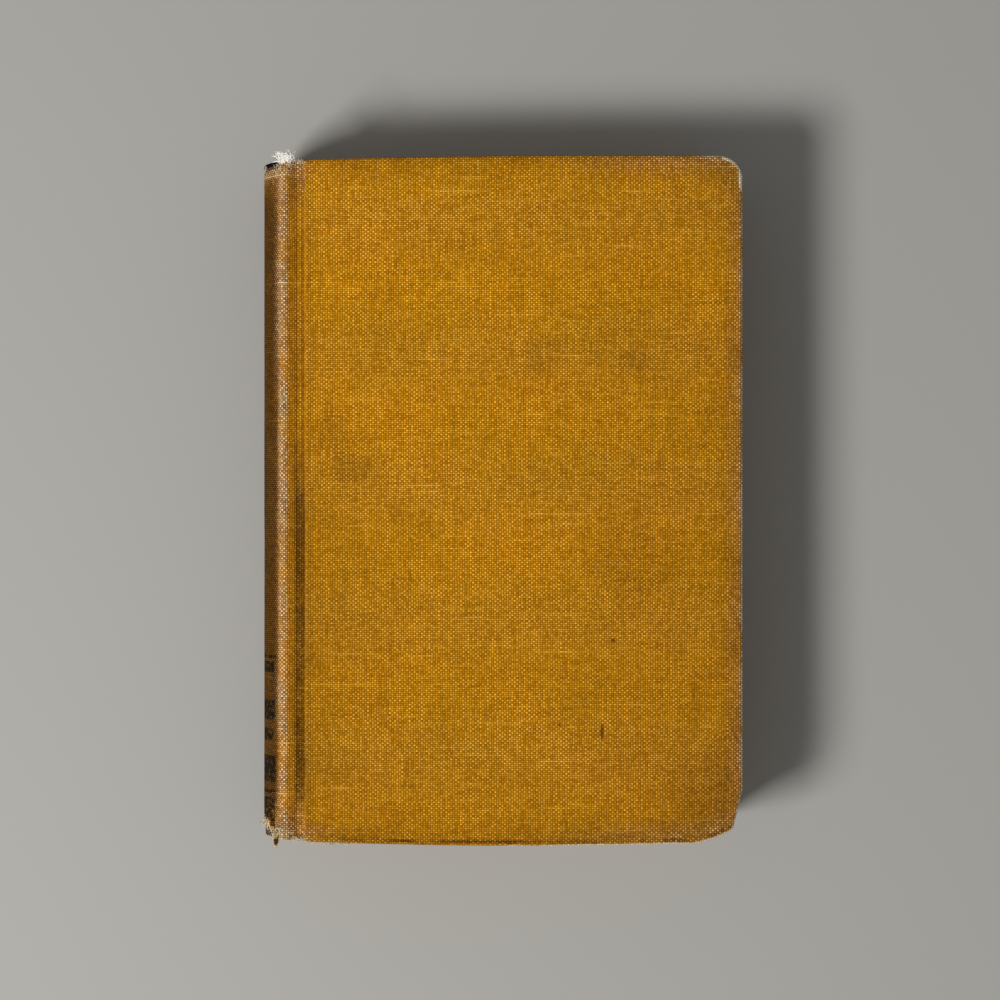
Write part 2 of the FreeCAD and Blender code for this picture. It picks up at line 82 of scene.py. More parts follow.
def linear(red: int, green: int, blue: int) -> Colour:
    """A colour given on the 0 to 255 scale, as linear light."""
    shares = [channel / 255 for channel in (red, green, blue)]
    return tuple(c / 12.92 if c <= 0.04045 else ((c + 0.055) / 1.055) ** 2.4 for c in shares)


def smooth(value: float, low: float, high: float) -> float:
    """A smooth step from 0 at low to 1 at high.

    Args:
        value: Where on the way it is.
        low: Where the step starts.
        high: Where it ends. It may lie below low, for a falling step.

    Returns:
        A number from 0 to 1.
    """
    share = min(1.0, max(0.0, (value - low) / (high - low)))
    return share * share * (3 - 2 * share)


def fade(distance: float, low: float, high: float) -> float:
    """A smooth step over a distance, from 0 at low to 1 at high, both in millimetres."""
    return smooth(distance, low * MM, high * MM)


def ramp(start: float, stop: float, step: float) -> list[float]:
    """Evenly spread numbers from start to stop, both included, about one step apart."""
    count = max(1, round(abs(stop - start) / step))
    return [start + (stop - start) * i / count for i in range(count + 1)]


def spread(low: float, high: float, shares: Sequence[float]) -> list[float]:
    """The places from low to high at shares of the way that run from -1 to 1."""
    return [low + (high - low) * (t + 1) / 2 for t in shares]


def rough(x: float, y: float, z: float, scale: float) -> float:
    """Smooth noise about 0, whose lumps are about scale wide."""
    return noise.noise(Vector((x, y, z)) / scale)


@dataclass(frozen=True)
class Book:
    """The book's main sizes in metres: those that its cloth, paper and leaves are built from."""

    cover_end: float = 97.5 * MM
    joint_end: float = 96.3 * MM
    tail_end: float = 97.3 * MM
    bump_end: float = 96.9 * MM
    tail_swell: float = 0.6 * MM
    head_swell: float = 0.9 * MM
    cap_end: float = 95.9 * MM
    leaf_end: float = 94.5 * MM
    board: float = 2.3 * MM
    cloth: float = 0.4 * MM
    paper: float = 0.12 * MM
    card: float = 0.5 * MM
    edge_round: float = 0.8 * MM
    groove_depth: float = 1.7 * MM
    tail_corner: float = 6.5 * MM
    head_corner: float = 3.5 * MM
    bump_up: float = 15.5 * MM
    bump_along: float = 19.5 * MM
    bump_in: float = 2.7 * MM
    bump_lift: float = 4.1 * MM
    bump_swell: float = 1.4 * MM
    leaf_bump: float = 0.7 * MM
    hinge_setback: float = 1.2 * MM
    crest_setback: float = 4.3 * MM
    crest_round: float = 2.1 * MM
    crest_drop: float = 0.35 * MM
    groove_floor: float = 1.1 * MM
    groove_turn: float = 0.7 * MM
    leaf_foot: float = -57.9 * MM
    tip_height: float = 14.25 * MM
    leaves: float = 25.1 * MM
    fore_hollow: float = 4.2 * MM
    fore_square: float = 3.5 * MM
    leaf_radius: float = 19.263 * MM
    spine_radius: float = 21.263 * MM
    turn_in: float = 15.0 * MM
    spine_turn_in: float = 13.0 * MM
    paste_margin: float = 4.0 * MM
    top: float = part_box("back_cloth")[1].z
    fore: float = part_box("back_board")[1].x + 0.4 * MM
    joint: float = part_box("back_board")[0].x - 0.4 * MM

    @property
    def middle(self) -> float:
        """The level half way up the book."""
        return self.top / 2

    @property
    def hinge(self) -> float:
        """The hinge line's place across the book."""
        return self.joint - self.hinge_setback

    @property
    def axis(self) -> float:
        """The place across the book of the centre of its round spine."""
        return self.spine_radius - self.fore

    def on_card(self, across: float) -> float:
        """How far a place lies on the card of the spine, from 0 to 1."""
        return smooth(across, self.hinge - 6.0 * MM, self.hinge - 7.0 * MM)

    def on_board(self, across: float) -> float:
        """How far a place lies on a board, from 0 to 1."""
        return smooth(across, self.joint - 0.5 * MM, self.joint)


BOOK = Book()


@dataclass(frozen=True)
class Turn:
    """A round turn of a section: its centre across and up, and its radius, above 0 where it turns left."""

    across: float
    up: float
    radius: float

    @property
    def centre(self) -> Vector:
        """The centre as a flat vector."""
        return Vector((self.across, self.up))


@dataclass
class Section:
    """A smooth line across the book, followed by the length along it."""

    lengths: list[float] = field(default_factory=list)
    places: list[Vector] = field(default_factory=list)
    outward: list[Vector] = field(default_factory=list)

    def add(self, place: Vector, outward: Vector) -> None:
        """Adds one sample, unless it repeats the last one."""
        if self.places and (place - self.places[-1]).length < 0.001 * MM:
            return
        before = self.lengths[-1] + (place - self.places[-1]).length if self.places else 0.0
        self.lengths.append(before)
        self.places.append(place)
        self.outward.append(outward)

    def at(self, length: float) -> tuple[Vector, Vector]:
        """The place and the outward direction at a length, carried on straight past both ends."""
        index = min(max(bisect_right(self.lengths, length) - 1, 0), len(self.lengths) - 2)
        span = self.lengths[index + 1] - self.lengths[index]
        share = (length - self.lengths[index]) / span
        place = self.places[index].lerp(self.places[index + 1], share)
        inside = min(1.0, max(0.0, share))
        return place, self.outward[index].lerp(self.outward[index + 1], inside).normalized()


def case_section() -> Section:
    """The outer face of the case across the book, from the middle of the spine to the fore edge.

    Returns:
        Its upper half, for the back cover: crown, shoulder, joint groove and cover face.
    """
    b = BOOK
    foot_turn, lift = 0.5 * MM, b.top - b.groove_depth
    tight, close_step, wide_step, straight_step = 3 * MM, 0.12 * MM, 0.45 * MM, 0.3 * MM
    turns = [
        Turn(b.axis, b.middle, -b.spine_radius),
        Turn(b.hinge - b.crest_setback, b.top - b.crest_drop - b.crest_round, -b.crest_round),
        Turn(b.hinge - b.groove_floor, lift + b.groove_turn, b.groove_turn),
        Turn(b.joint - 1.0 * MM, lift + foot_turn, foot_turn),
        Turn(b.joint + b.edge_round, b.top - b.edge_round, -b.edge_round),
    ]
    section = Section()
    heading = math.pi / 2
    for here, following in zip(turns, [*turns[1:], None]):
        goal = 0.0
        if following is not None:
            apart = following.centre - here.centre
            lean = math.asin((following.radius - here.radius) / apart.length)
            goal = math.atan2(apart.y, apart.x) - lean
        reach = close_step if abs(here.radius) < tight else wide_step
        for angle in ramp(heading, goal, reach / abs(here.radius)):
            left = Vector((-math.sin(angle), math.cos(angle)))
            section.add(here.centre - left * here.radius, left)
        heading = goal
        if following is not None:
            left = Vector((-math.sin(goal), math.cos(goal)))
            start, stop = here.centre - left * here.radius, following.centre - left * following.radius
            for share in ramp(0, 1, straight_step / (stop - start).length):
                section.add(start.lerp(stop, share), left)
    section.add(Vector((b.fore, b.top)), Vector((0, 1)))
    return section


def swelling(x: float, start: float, stop: float, rise: float) -> float:
    """How far a bowed edge stands out at x, where it rises in an arc from start to stop."""
    share = (x - start) / (stop - start)
    return rise * 4 * share * (1 - share) if 0 < share < 1 else 0.0


def tail_line(x: float) -> float:
    """The distance from the middle of the book to the tail edge of a cover, at x."""
    b = BOOK
    share = (x - b.joint) / (b.fore - b.joint)
    edge = b.joint_end + (b.tail_end - b.joint_end) * share + swelling(x, b.joint, b.fore, b.tail_swell)
    into = x - (b.fore - b.tail_corner)
    if into > 0:
        edge -= b.tail_corner - math.sqrt(max(0.0, b.tail_corner**2 - into**2))
    return edge


def head_line(x: float) -> float:
    """The distance from the middle of the book to the head edge of a cover, at x, with its bumped corner."""
    b = BOOK
    bump, corner = b.fore - b.bump_along, b.fore - b.bump_in
    if x <= bump:
        share = (x - b.joint) / (bump - b.joint)
        line = b.joint_end + (b.bump_end - b.joint_end) * share
        return line + swelling(x, b.joint, bump, b.head_swell)
    lower = b.bump_end - b.bump_lift * (x - bump) / (corner - bump)
    lower += swelling(x, bump, corner, b.bump_swell)
    upper = b.bump_end - b.bump_lift - (b.bump_up - b.bump_lift) * (x - corner) / b.bump_in
    soft = b.head_corner / 2
    gap = max(0.0, 1 - abs(upper - lower) / soft)
    return min(lower, upper) - gap * gap * soft / 5


def bumped_line(x: float, inset: float) -> float:
    """The distance from the middle to the head edge of something smaller than the covers by inset."""
    return head_line(min(x + inset, BOOK.fore)) - inset


@dataclass
class Wear:
    """How worn, darkened and bared a place of the cloth is, each from 0 to 1; the darkening is soil, and in
    places painted shade and shadow.
    """

    rub: float = 0.0
    darkening: float = 0.0
    bare: float = 0.0


# The most that the cover is darkened, by soil and painted shade together.
COVER_DARKENING = 0.62


def groove_stain(y: float) -> float:
    """How black the joint groove is along the book: most of it between the middle and the head."""
    upper = 0.1 + 0.2 * fade(y, 60, 35) + 0.16 * fade(y, 30, 16)
    return upper + (0.9 - upper) * fade(y, 24, -6) * fade(y, -92, -84)


def wear_at(half: Half, across: float, y: float, depth: float, place: Vector) -> Wear:
    """The wear of the case cloth at one place.

    Args:
        half: The half of the case.
        across: The place across the book, in metres.
        y: The place along the book.
        depth: How far the place lies from the outer face, round an edge.
        place: The same place in space, from which the unevenness is taken.

    Returns:
        Its wear.
    """
    patchy = 0.5 + 0.5 * rough(place.x, place.y, place.z + 0.3 * half.value, 7 * MM)
    fine = 0.5 + 0.5 * rough(place.x, place.y, place.z, 2 * MM)
    if across > BOOK.joint:
        wear = cover_wear(across, y, depth, patchy, fine)
    else:
        wear = spine_wear(across, y, patchy, fine)
    if depth > BOOK.edge_round:
        wear.rub *= fade(depth, 2.8, 1.0)
    return wear


def cover_wear(across: float, y: float, depth: float, patchy: float, fine: float) -> Wear:
    """The wear of a cover: rubbed and dark along its edges, and down to the core at its corners, with painted
    shade towards the head and the fore edge and on the board's rounded edge at the joint.

    Args:
        across: The place across the book, in metres.
        y: The place along the book.
        depth: How far the place lies from the outer face, round an edge.
        patchy: Coarse unevenness there, from 0 to 1.
        fine: Fine unevenness there, from 0 to 1.

    Returns:
        Its wear.
    """
    b = BOOK
    to_tail, to_head, to_fore = tail_line(across) - y, head_line(across) + y, b.fore - across
    near_end = min(to_tail, to_head)
    near = min(near_end, to_fore)
    corner = math.hypot(to_fore, max(0.0, near_end))
    wear = Wear()
    # Rubbed: the edges, a band beside them that fades, the corners, and the ends beside the joint.
    at_head, near_corner = to_head < to_tail, fade(to_fore, 62, 20)
    at_end = (0.15 + 0.6 * near_corner) * (0.5 if at_head else 1.0)
    edge_rub = max(fade(near_end, 2.0, 0.3) * at_end, 0.85 * fade(to_fore, 2.6, 0.3))
    wear.rub = edge_rub * (0.3 + 0.8 * patchy)
    band = max(fade(near_end, 8.5, 0.5) * near_corner, 0.8 * fade(to_fore, 6, 0.5))
    wear.rub = max(wear.rub, 0.8 * band * (0.4 + 0.7 * patchy) * (0.65 + 0.45 * fine))
    wear.rub = max(wear.rub, 0.55 * fade(corner, 15, 3) * (0.3 + 0.7 * fine))
    off_joint = smooth(across, b.joint + 1 * MM, b.joint + 14 * MM)
    joint_rub = (13 if at_head else 7) * MM
    beside = smooth(across, b.joint + joint_rub, b.joint) * fade(near_end, 6.5, 2.5)
    wear.rub = max(wear.rub, (0.62 if at_head else 0.42) * beside * (0.45 + 0.55 * fine))
    # Darkened: soil towards the edges and the corners, and beside the joint towards the head; painted shade
    # towards the fore edge and the head, and on the board's rounded edge at the joint.
    wear.darkening = 0.4 * fade(near, 9, 0.5) * (1.2 - patchy) * (0.4 + 0.6 * off_joint)
    wear.darkening += 0.14 * fade(corner, 30, 6)
    wear.darkening += (0.12 if at_head else 0.3) * fade(corner, 12, 5)
    # Painted shade: the cover darker towards the fore edge and the head, where the light falls off.
    wear.darkening += 0.19 * fade(to_fore, 75, 4) * (1 - 0.6 * fade(y, 10, 80))
    wear.darkening += 0.14 * fade(y, 60, -75) + 0.1 * fade(y, -60, -95)
    wear.darkening += 0.2 * smooth(across, b.joint + 36 * MM, b.joint) * fade(y, 80, -40)
    # Painted shade on the board's rounded edge at the joint, which the lamp lights.
    wear.darkening += 0.25 * fade(abs(across - b.joint - 0.9 * MM), 1.5, 0.4)
    # A dark line just inside the head edge, and a faint one at the tail.
    rim = fade(abs(near_end - 1.15 * MM), 1.05, 0.3) * (0.5 + 0.5 * patchy)
    wear.darkening += 0.0 if at_head else 0.2 * rim
    wear.darkening = min(wear.darkening, COVER_DARKENING)
    if at_head:
        wear.darkening = max(wear.darkening, 0.95 * rim * (0.4 + 0.6 * off_joint))
        wear.rub *= 1 - 0.6 * rim
    # Bare: crescents at the corners, and broken lines on the edges.
    crescent = fade(near, 0.5, 0.2) if at_head else fade(near, 1.5, 0.9)
    wear.bare = 0.72 * fade(corner, 7.5, 5.0) * crescent
    line = fade(depth, 0.01, 0.12) * fade(depth, 1.2, 0.4)
    along = fade(to_fore, 100, 40) if at_head else 0.8 * fade(corner, 24, 12)
    wear.bare = max(wear.bare, (0.3 + 0.35 * patchy + 0.3 * fine) * line * along)
    if at_head:
        wear.bare = max(wear.bare, (0.4 + 0.45 * patchy) * fade(near_end, 0.55, 0.25) * along)
    wear.bare = max(wear.bare, (0.3 + 0.4 * patchy) * fade(to_fore, 0.6, 0.25))
    wear.bare += 0.3 * fade(corner, 6.0, 3.6) * fade(depth, 0.4, 1.0)
    return wear


def spine_wear(across: float, y: float, patchy: float, fine: float) -> Wear:
    """The wear of the spine and joint: rubbed pale on the ridge, dark on the crown and in the groove, with a
    painted shadow of the board's edge beside the joint.

    Args:
        across: The place across the book, in metres.
        y: The place along the book.
        patchy: Coarse unevenness there, from 0 to 1.
        fine: Fine unevenness there, from 0 to 1.

    Returns:
        Its wear.
    """
    b = BOOK
    crest = b.hinge - b.crest_setback
    wear = Wear()
    # The pale ridge, whose outer border sways.
    sway = 0.5 * MM * rough(0.0, y, 0.0, 16 * MM) + 0.3 * MM * rough(0.0, y, 5 * MM, 5 * MM)
    outer = smooth(across, crest - 3.6 * MM + sway, crest - 1.2 * MM + sway)
    towards_tail = fade(y, 5, 50)
    outer = max(outer, 0.8 * towards_tail * smooth(across, crest - 4.2 * MM, crest - 2.2 * MM))
    inner = smooth(across, crest + 2.2 * MM, crest - 0.2 * MM)
    wear.rub = inner * outer * (0.46 + 0.56 * patchy) * (0.75 + 0.5 * fine)
    # The dark crown, the stained groove, a thin painted shadow of the board's edge beside the joint, and a
    # fainter dark line in the groove.
    wear.darkening = smooth(across, crest - 0.8 * MM, crest - 2.8 * MM) * (0.9 + 0.2 * patchy)
    groove = smooth(across, b.hinge - 2.4 * MM, b.hinge - 1.1 * MM)
    wear.darkening = max(wear.darkening, groove * groove_stain(y) * (0.7 + 0.4 * patchy))
    # Painted shadow of the board's edge.
    wear.darkening = max(wear.darkening, 0.62 * fade(abs(across - b.joint + 0.95 * MM), 0.5, 0.15))
    wear.darkening = max(wear.darkening, 0.4 * fade(abs(across - b.joint + 2.5 * MM), 0.4, 0.1))
    # Both ends, rubbed on the ridge and in the joint.
    from_end = min(b.cap_end - y, b.cap_end + y)
    end = fade(from_end, 15, 3)
    on_ridge = smooth(across, crest - 5.6 * MM, crest - 2.5 * MM)
    wear.rub = max(wear.rub, end * (0.25 + 0.6 * fine) * on_ridge)
    in_joint = smooth(across, crest + 1.6 * MM, b.joint - 1.5 * MM)
    end_rub = 0.95 - (0.33 if y < 0 else 0.53) * in_joint
    wear.rub = max(wear.rub, end_rub * fade(from_end, 6.5, 3.5) * (0.45 + 0.55 * fine))
    wear.darkening = max(wear.darkening * (1 - 0.25 * end), 0.6 * end * patchy)
    return wear


@dataclass(frozen=True)
class Bite:
    """A worn-away stretch of the spine cloth at one end, over the crown."""

    depth: float
    half_stretch: float
    ragged: float
    level_part: float

    def at(self, length: float, seed: float) -> float:
        """How far the cloth's edge is worn back, at a length round the spine from its middle."""
        share = smooth(abs(length), self.half_stretch, self.level_part * self.half_stretch)
        torn = rough(length, seed, 0, 2.2 * MM) + 0.6 * rough(length, seed, 9, 0.8 * MM)
        return max(0.0, self.depth * share + self.ragged * torn * (0.25 + share))


BITES = {
    End.HEAD: Bite(depth=5.2 * MM, half_stretch=18.5 * MM, ragged=0.9 * MM, level_part=0.45),
    End.TAIL: Bite(depth=2.1 * MM, half_stretch=18.5 * MM, ragged=0.3 * MM, level_part=0.75),
}


@dataclass
class CaseHalf:
    """The cloth of one half of the case: spine, joint, cover face, edges and turn-ins, all one sheet."""

    half: Half
    body: str
    replaced: tuple[str, ...]
    cell: float = 1.1 * MM
    swell_height: float = 0.06 * MM
    edge_points: int = 9
    edge_share: float = 0.47
    turn_in_shares: tuple[float, ...] = (0.15, 0.4, 0.7, 1.0)
    corner_stretch: float = 30 * MM
    section: Section = field(default_factory=case_section)

    @property
    def name(self) -> str:
        """The piece's name."""
        return f"{self.half.name.lower()}_case_cloth"

    def spine_middle(self) -> float:
        """The place of the spine's middle line on the flat cloth, which is laid out from the fore edge."""
        return BOOK.fore - self.section.lengths[-1]

    def stations(self) -> list[float]:
        """The lengths along the section at which the sheet has a column of points."""
        close = self.section.lengths[:-1]
        face = ramp(close[-1], self.section.lengths[-1] - 8 * MM, self.cell)[1:]
        rest = [7.2, 6.4, 5.6, 4.8, 4.0, 3.3, 2.7, 2.2, 1.7, 1.2, 0.8, 0.5, 0.28, 0.12, 0.03]
        return close + face + [self.section.lengths[-1] - r * MM for r in rest]

    def across(self, length: float) -> float:
        """The place across the book at a length across the sheet."""
        return self.section.at(length)[0].x

    def edge(self, length: float, end: End) -> float:
        """The distance from the middle of the book to the sheet's edge at one end, at a length across."""
        b = BOOK
        across = self.across(length)
        if across > b.joint:
            return tail_line(across) if end is End.TAIL else head_line(across)
        even = b.cap_end + (b.joint_end - b.cap_end) * smooth(across, b.hinge - 1.5 * MM, b.joint)
        return even - self.bite(length, end)

    def bite(self, length: float, end: End) -> float:
        """How far the spine cloth is worn away at one end: the same on both halves at the spine's middle."""
        seed = 3 * end.value + 0.4 * self.half.value * (length > 2 * MM)
        return BITES[end].at(length, seed * MM)

    def body_depth(self, length: float, worn: float) -> float:
        """How thick the case is at a length across, from the cloth's face to that of its turn-in."""
        b = BOOK
        across = self.across(length)
        folded = 2 * b.cloth - 0.05 * MM
        with_card = folded + b.card * b.on_card(across)
        with_card += (b.cloth + 0.03 * MM - with_card) * fade(worn, 0.1, 0.8)
        return with_card + (b.board + folded - with_card) * b.on_board(across)

    def turned(self, length: float, worn: float) -> float:
        """How far the cloth is turned in at a length across."""
        b = BOOK
        across = self.across(length)
        at_spine = b.spine_turn_in * b.on_card(across) + 1.2 * MM
        at_spine *= fade(worn, 0.8, 0.1)
        return at_spine + 0.5 * MM + (b.turn_in - at_spine) * b.on_board(across)

    def place(self, length: float, y: float, depth: float) -> Vector:
        """The place in space of a point of the sheet, given across, along and in from the outer face."""
        centre, outward = self.section.at(length)
        lump = self.swell_height * rough(length, y, self.half.value, 23 * MM)
        lump += 0.4 * self.swell_height * rough(length, y, self.half.value, 6 * MM)
        lump *= smooth(depth, 0.8 * MM, 0.0)
        if self.half is Half.FRONT:
            lump = -abs(lump)
        spot = centre + outward * (lump - depth)
        level = spot.y if self.half is Half.BACK else BOOK.top - spot.y
        return Vector((spot.x, y, level))

    def build(self) -> bpy.types.Object:
        """Builds the sheet as a grid with rings of points round its edges.

        Returns:
            The object, with its weave map and wear values.
        """
        columns = self.stations()
        worn = {end: [self.wear_back(a, end) for a in columns] for end in End}
        outline = [(a, self.edge(a, End.TAIL)) for a in columns]
        corner_high, corner_low = outline[-1][1], -self.edge(columns[-1], End.HEAD)
        along = self.along()
        fore = [(columns[-1], corner_high + (corner_low - corner_high) * (1 - t) / 2) for t in along[::-1]]
        outline += fore[1:-1]
        outline += [(a, -self.edge(a, End.HEAD)) for a in columns[::-1]]
        tail_worn, head_worn = worn[End.TAIL], worn[End.HEAD]
        wears = tail_worn + [0.0] * (len(fore) - 2) + head_worn[::-1]
        sheet = SheetMesh(self.name)
        rim = self.rim(outline, wears)
        starts = [ring[0].flat for ring in rim]
        count, rows = len(columns), len(along) - 1
        ends = zip(starts[:count], starts[::-1])
        grid = [[low.lerp(high, (t + 1) / 2) for t in along] for high, low in ends]
        for j in range(1, rows):
            grid[-1][j] = starts[count + rows - 1 - j]
        points = [[sheet.add(self.vertex(*flat, 0.0, flat)) for flat in column] for column in grid]
        turned = self.half is Half.FRONT
        sheet.strips(list(zip(*points)), turned)
        loops = [[column[rows] for column in points]]
        loops[0] += points[-1][rows - 1:0:-1]
        loops[0] += [column[0] for column in points[::-1]]
        for step in range(1, len(rim[0])):
            loops.append([sheet.add(self.vertex(*ring[step].spot, ring[step].flat)) for ring in rim])
        sheet.strips(loops, turned)
        return sheet.finish()

    def along(self) -> list[float]:
        """The rows' places from the head edge, -1, to the tail edge, 1: closer near both."""
        near = [r * MM / BOOK.cover_end - 1 for r in (0.0, 0.3, 0.65, 1.05, 1.5, 2.1)]
        between = ramp(near[-1], -near[-1], self.cell / BOOK.cover_end)[1:-1]
        return near + between + [-t for t in near[::-1]]

    def wear_back(self, length: float, end: End) -> float:
        """How far the spine cloth's edge is worn back there, and 0 on the covers."""
        return 0.0 if self.across(length) > BOOK.hinge - 3 * MM else self.bite(length, end)

    def vertex(self, length: float, y: float, depth: float, flat: Vector) -> "ClothPoint":
        """A point of the sheet with its place, weave map and wear."""
        spot = self.place(length, y, depth)
        laid = flat + Vector((self.spine_middle(), 0))
        return ClothPoint(spot, laid, wear_at(self.half, spot.x, y, depth, spot))

    def rim(self, outline: Sequence[tuple[float, float]], worn: Sequence[float]) -> list[list["RimPoint"]]:
        """The sheet's way round its edge, at every point of its outline.

        Args:
            outline: The outline, flat: across and along.
            worn: How far the edge is worn back at each point.

        Returns:
            For each point, a list from the face, round the edge, to the turn-in and its cut edge.
        """
        b = BOOK
        flat = [Vector(p) for p in outline]
        arc = ramp(0, math.pi / 2, 0.4)
        rim = []
        for k, here in enumerate(flat):
            way = flat[min(k + 1, len(flat) - 1)] - flat[max(k - 1, 0)]
            out = Vector((-way.y, way.x)).normalized()
            if k in (0, len(flat) - 1) or here.x < self.section.lengths[-1] - self.corner_stretch:
                out = Vector((0, math.copysign(1, here.y)))
            depth, reach = self.body_depth(here.x, worn[k]), self.turned(here.x, worn[k])
            curve = min(b.edge_round, self.edge_share * depth)
            low = depth - curve
            path = [(-curve + curve * math.sin(t), curve - curve * math.cos(t)) for t in arc]
            path += [(0.0, d) for d in ramp(curve, low, 0.5 * MM)[1:-1]]
            path = (path + [(0.0, low)] * self.edge_points)[: self.edge_points]
            path += [(-curve + curve * math.cos(t), low + curve * math.sin(t)) for t in arc]
            path += [(-curve - (reach - curve) * s, depth) for s in self.turn_in_shares]
            path.append((-max(reach, curve), depth - b.cloth))
            ring, run, last = [], 0.0, path[0]
            for out_by, down in path:
                run += math.hypot(out_by - last[0], down - last[1])
                last = (out_by, down)
                spot = here + out * out_by
                if out_by < -curve:
                    spot = self.mitred(here, out, out_by)
                ring.append(RimPoint((spot.x, spot.y, down), here + out * (run - curve)))
            rim.append(ring)
        return rim

    def mitred(self, here: Vector, out: Vector, inward: float) -> Vector:
        """A point of the turn-in, kept inside the frame of cloth so that the corners meet in a mitre."""
        fore = self.section.lengths[-1]
        limit = BOOK.bump_end + inward
        if here.x < fore - self.corner_stretch:
            return here + out * inward
        return Vector((min(here.x, fore + inward), max(-limit, min(limit, here.y))))

    def dress(self, piece: bpy.types.Object, finish: bpy.types.Material) -> None:
        """Gives the sheet its finish and hides the parts that it replaces."""
        piece.data.materials.append(finish)
        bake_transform(piece)
        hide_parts(*self.replaced)


@dataclass(frozen=True)
class ClothPoint:
    """A point of a cloth sheet: its place, its place on the flat cloth, and its wear."""

    spot: Vector
    flat: Vector
    wear: Wear = field(default_factory=Wear)


@dataclass(frozen=True)
class RimPoint:
    """A point on the way round a sheet's edge: across, along and depth, and its place on the flat cloth."""

    spot: Point
    flat: Vector


class SheetMesh:
    """A mesh under construction, with a flat map and named values for each point."""

    def __init__(self, name: str) -> None:
        """An empty mesh.

        Args:
            name: The name of the object to be.
        """
        self.name = name
        self.points: list[ClothPoint] = []
        self.faces: list[tuple[int, ...]] = []

    def add(self, point: ClothPoint) -> int:
        """Adds a point and returns its number."""
        self.points.append(point)
        return len(self.points) - 1

    def face(self, corners: Sequence[int], turned: bool = False) -> None:
        """Adds a face, the other way round if turned."""
        self.faces.append(tuple(corners[::-1]) if turned else tuple(corners))

    def strips(self, rows: Grid, turned: bool = False) -> None:
        """Joins rows of points to a skin, which faces the other way if turned or with columns for rows."""
        for lower, upper in zip(rows, rows[1:]):
            for k in range(len(lower) - 1):
                self.face((lower[k], lower[k + 1], upper[k + 1], upper[k]), turned)

    def slab(self, lower: Grid, upper: Grid, turned: bool = False) -> None:
        """Joins two grids of points to a sheet with both of its faces and its cut edge."""
        self.strips(list(zip(*lower)), not turned)
        self.strips(list(zip(*upper)), turned)
        self.strips([grid_border(lower), grid_border(upper)], turned)

    def ring(
        self,
        centre: Vector,
        ways: tuple[Vector, Vector],
        radius: float,
        around: int,
        run: float,
        lean: float = 0.0,
    ) -> list[int]:
        """Adds a ring of points of a tube.

        Args:
            centre: The ring's middle.
            ways: The directions from there to its start and to its first quarter.
            radius: Its radius.
            around: How many points it has.
            run: Its place along the flat map.
            lean: How far that place sways round the ring.

        Returns:
            The points' numbers.
        """
        ring = []
        for k in range(around):
            turn = 2 * math.pi * k / around
            spot = centre + (ways[0] * math.cos(turn) + ways[1] * math.sin(turn)) * radius
            ring.append(self.add(ClothPoint(spot, Vector((run + lean * math.sin(turn), k / around)))))
        return ring

    def tube(self, rings: Grid) -> None:
        """Joins rings of points to a tube and closes both of its ends."""
        self.strips([[*ring, ring[0]] for ring in rings])
        self.face(rings[0][::-1])
        self.face(rings[-1])

    def finish(self, smooth_faces: bool = True, merged: bool = True) -> bpy.types.Object:
        """Makes the object.

        Args:
            smooth_faces: Whether its faces are shaded smooth.
            merged: Whether points that meet become one, which the close turns of a fold don't stand.

        Returns:
            The object, linked to the scene.
        """
        mesh = bpy.data.meshes.new(self.name)
        mesh.from_pydata([p.spot for p in self.points], [], self.faces)
        layer = mesh.uv_layers.new(name="Cloth")
        for loop in mesh.loops:
            layer.data[loop.index].uv = self.points[loop.vertex_index].flat
        for value in ("rub", "darkening", "bare"):
            attribute = mesh.attributes.new(value, "FLOAT", "POINT")
            attribute.data.foreach_set("value", [getattr(p.wear, value) for p in self.points])
        if merged:
            work = bmesh.new()
            work.from_mesh(mesh)
            bmesh.ops.remove_doubles(work, verts=work.verts, dist=0.002 * MM)
            bmesh.ops.dissolve_degenerate(work, edges=work.edges, dist=0.001 * MM)
            work.to_mesh(mesh)
            work.free()
        mesh.polygons.foreach_set("use_smooth", [smooth_faces] * len(mesh.polygons))
        mesh.update()
        piece = bpy.data.objects.new(self.name, mesh)
        bpy.context.scene.collection.objects.link(piece)
        return piece


def grid_border(grid: Grid) -> list[int]:
    """The points round a grid, the first one again at the end."""
    first, last = [row[0] for row in grid], [row[-1] for row in grid]
    return [*first, *grid[-1][1:], *last[-2::-1], *grid[0][-2::-1]]


def round_back(angle: float, y: float, radius: float) -> tuple[Vector, Vector]:
    """A place on the round back of the book, at an angle up from its middle, and the way out from there."""
    away = Vector((-math.cos(angle), 0, math.sin(angle)))
    return Vector((BOOK.axis, y, BOOK.middle)) + away * radius, away


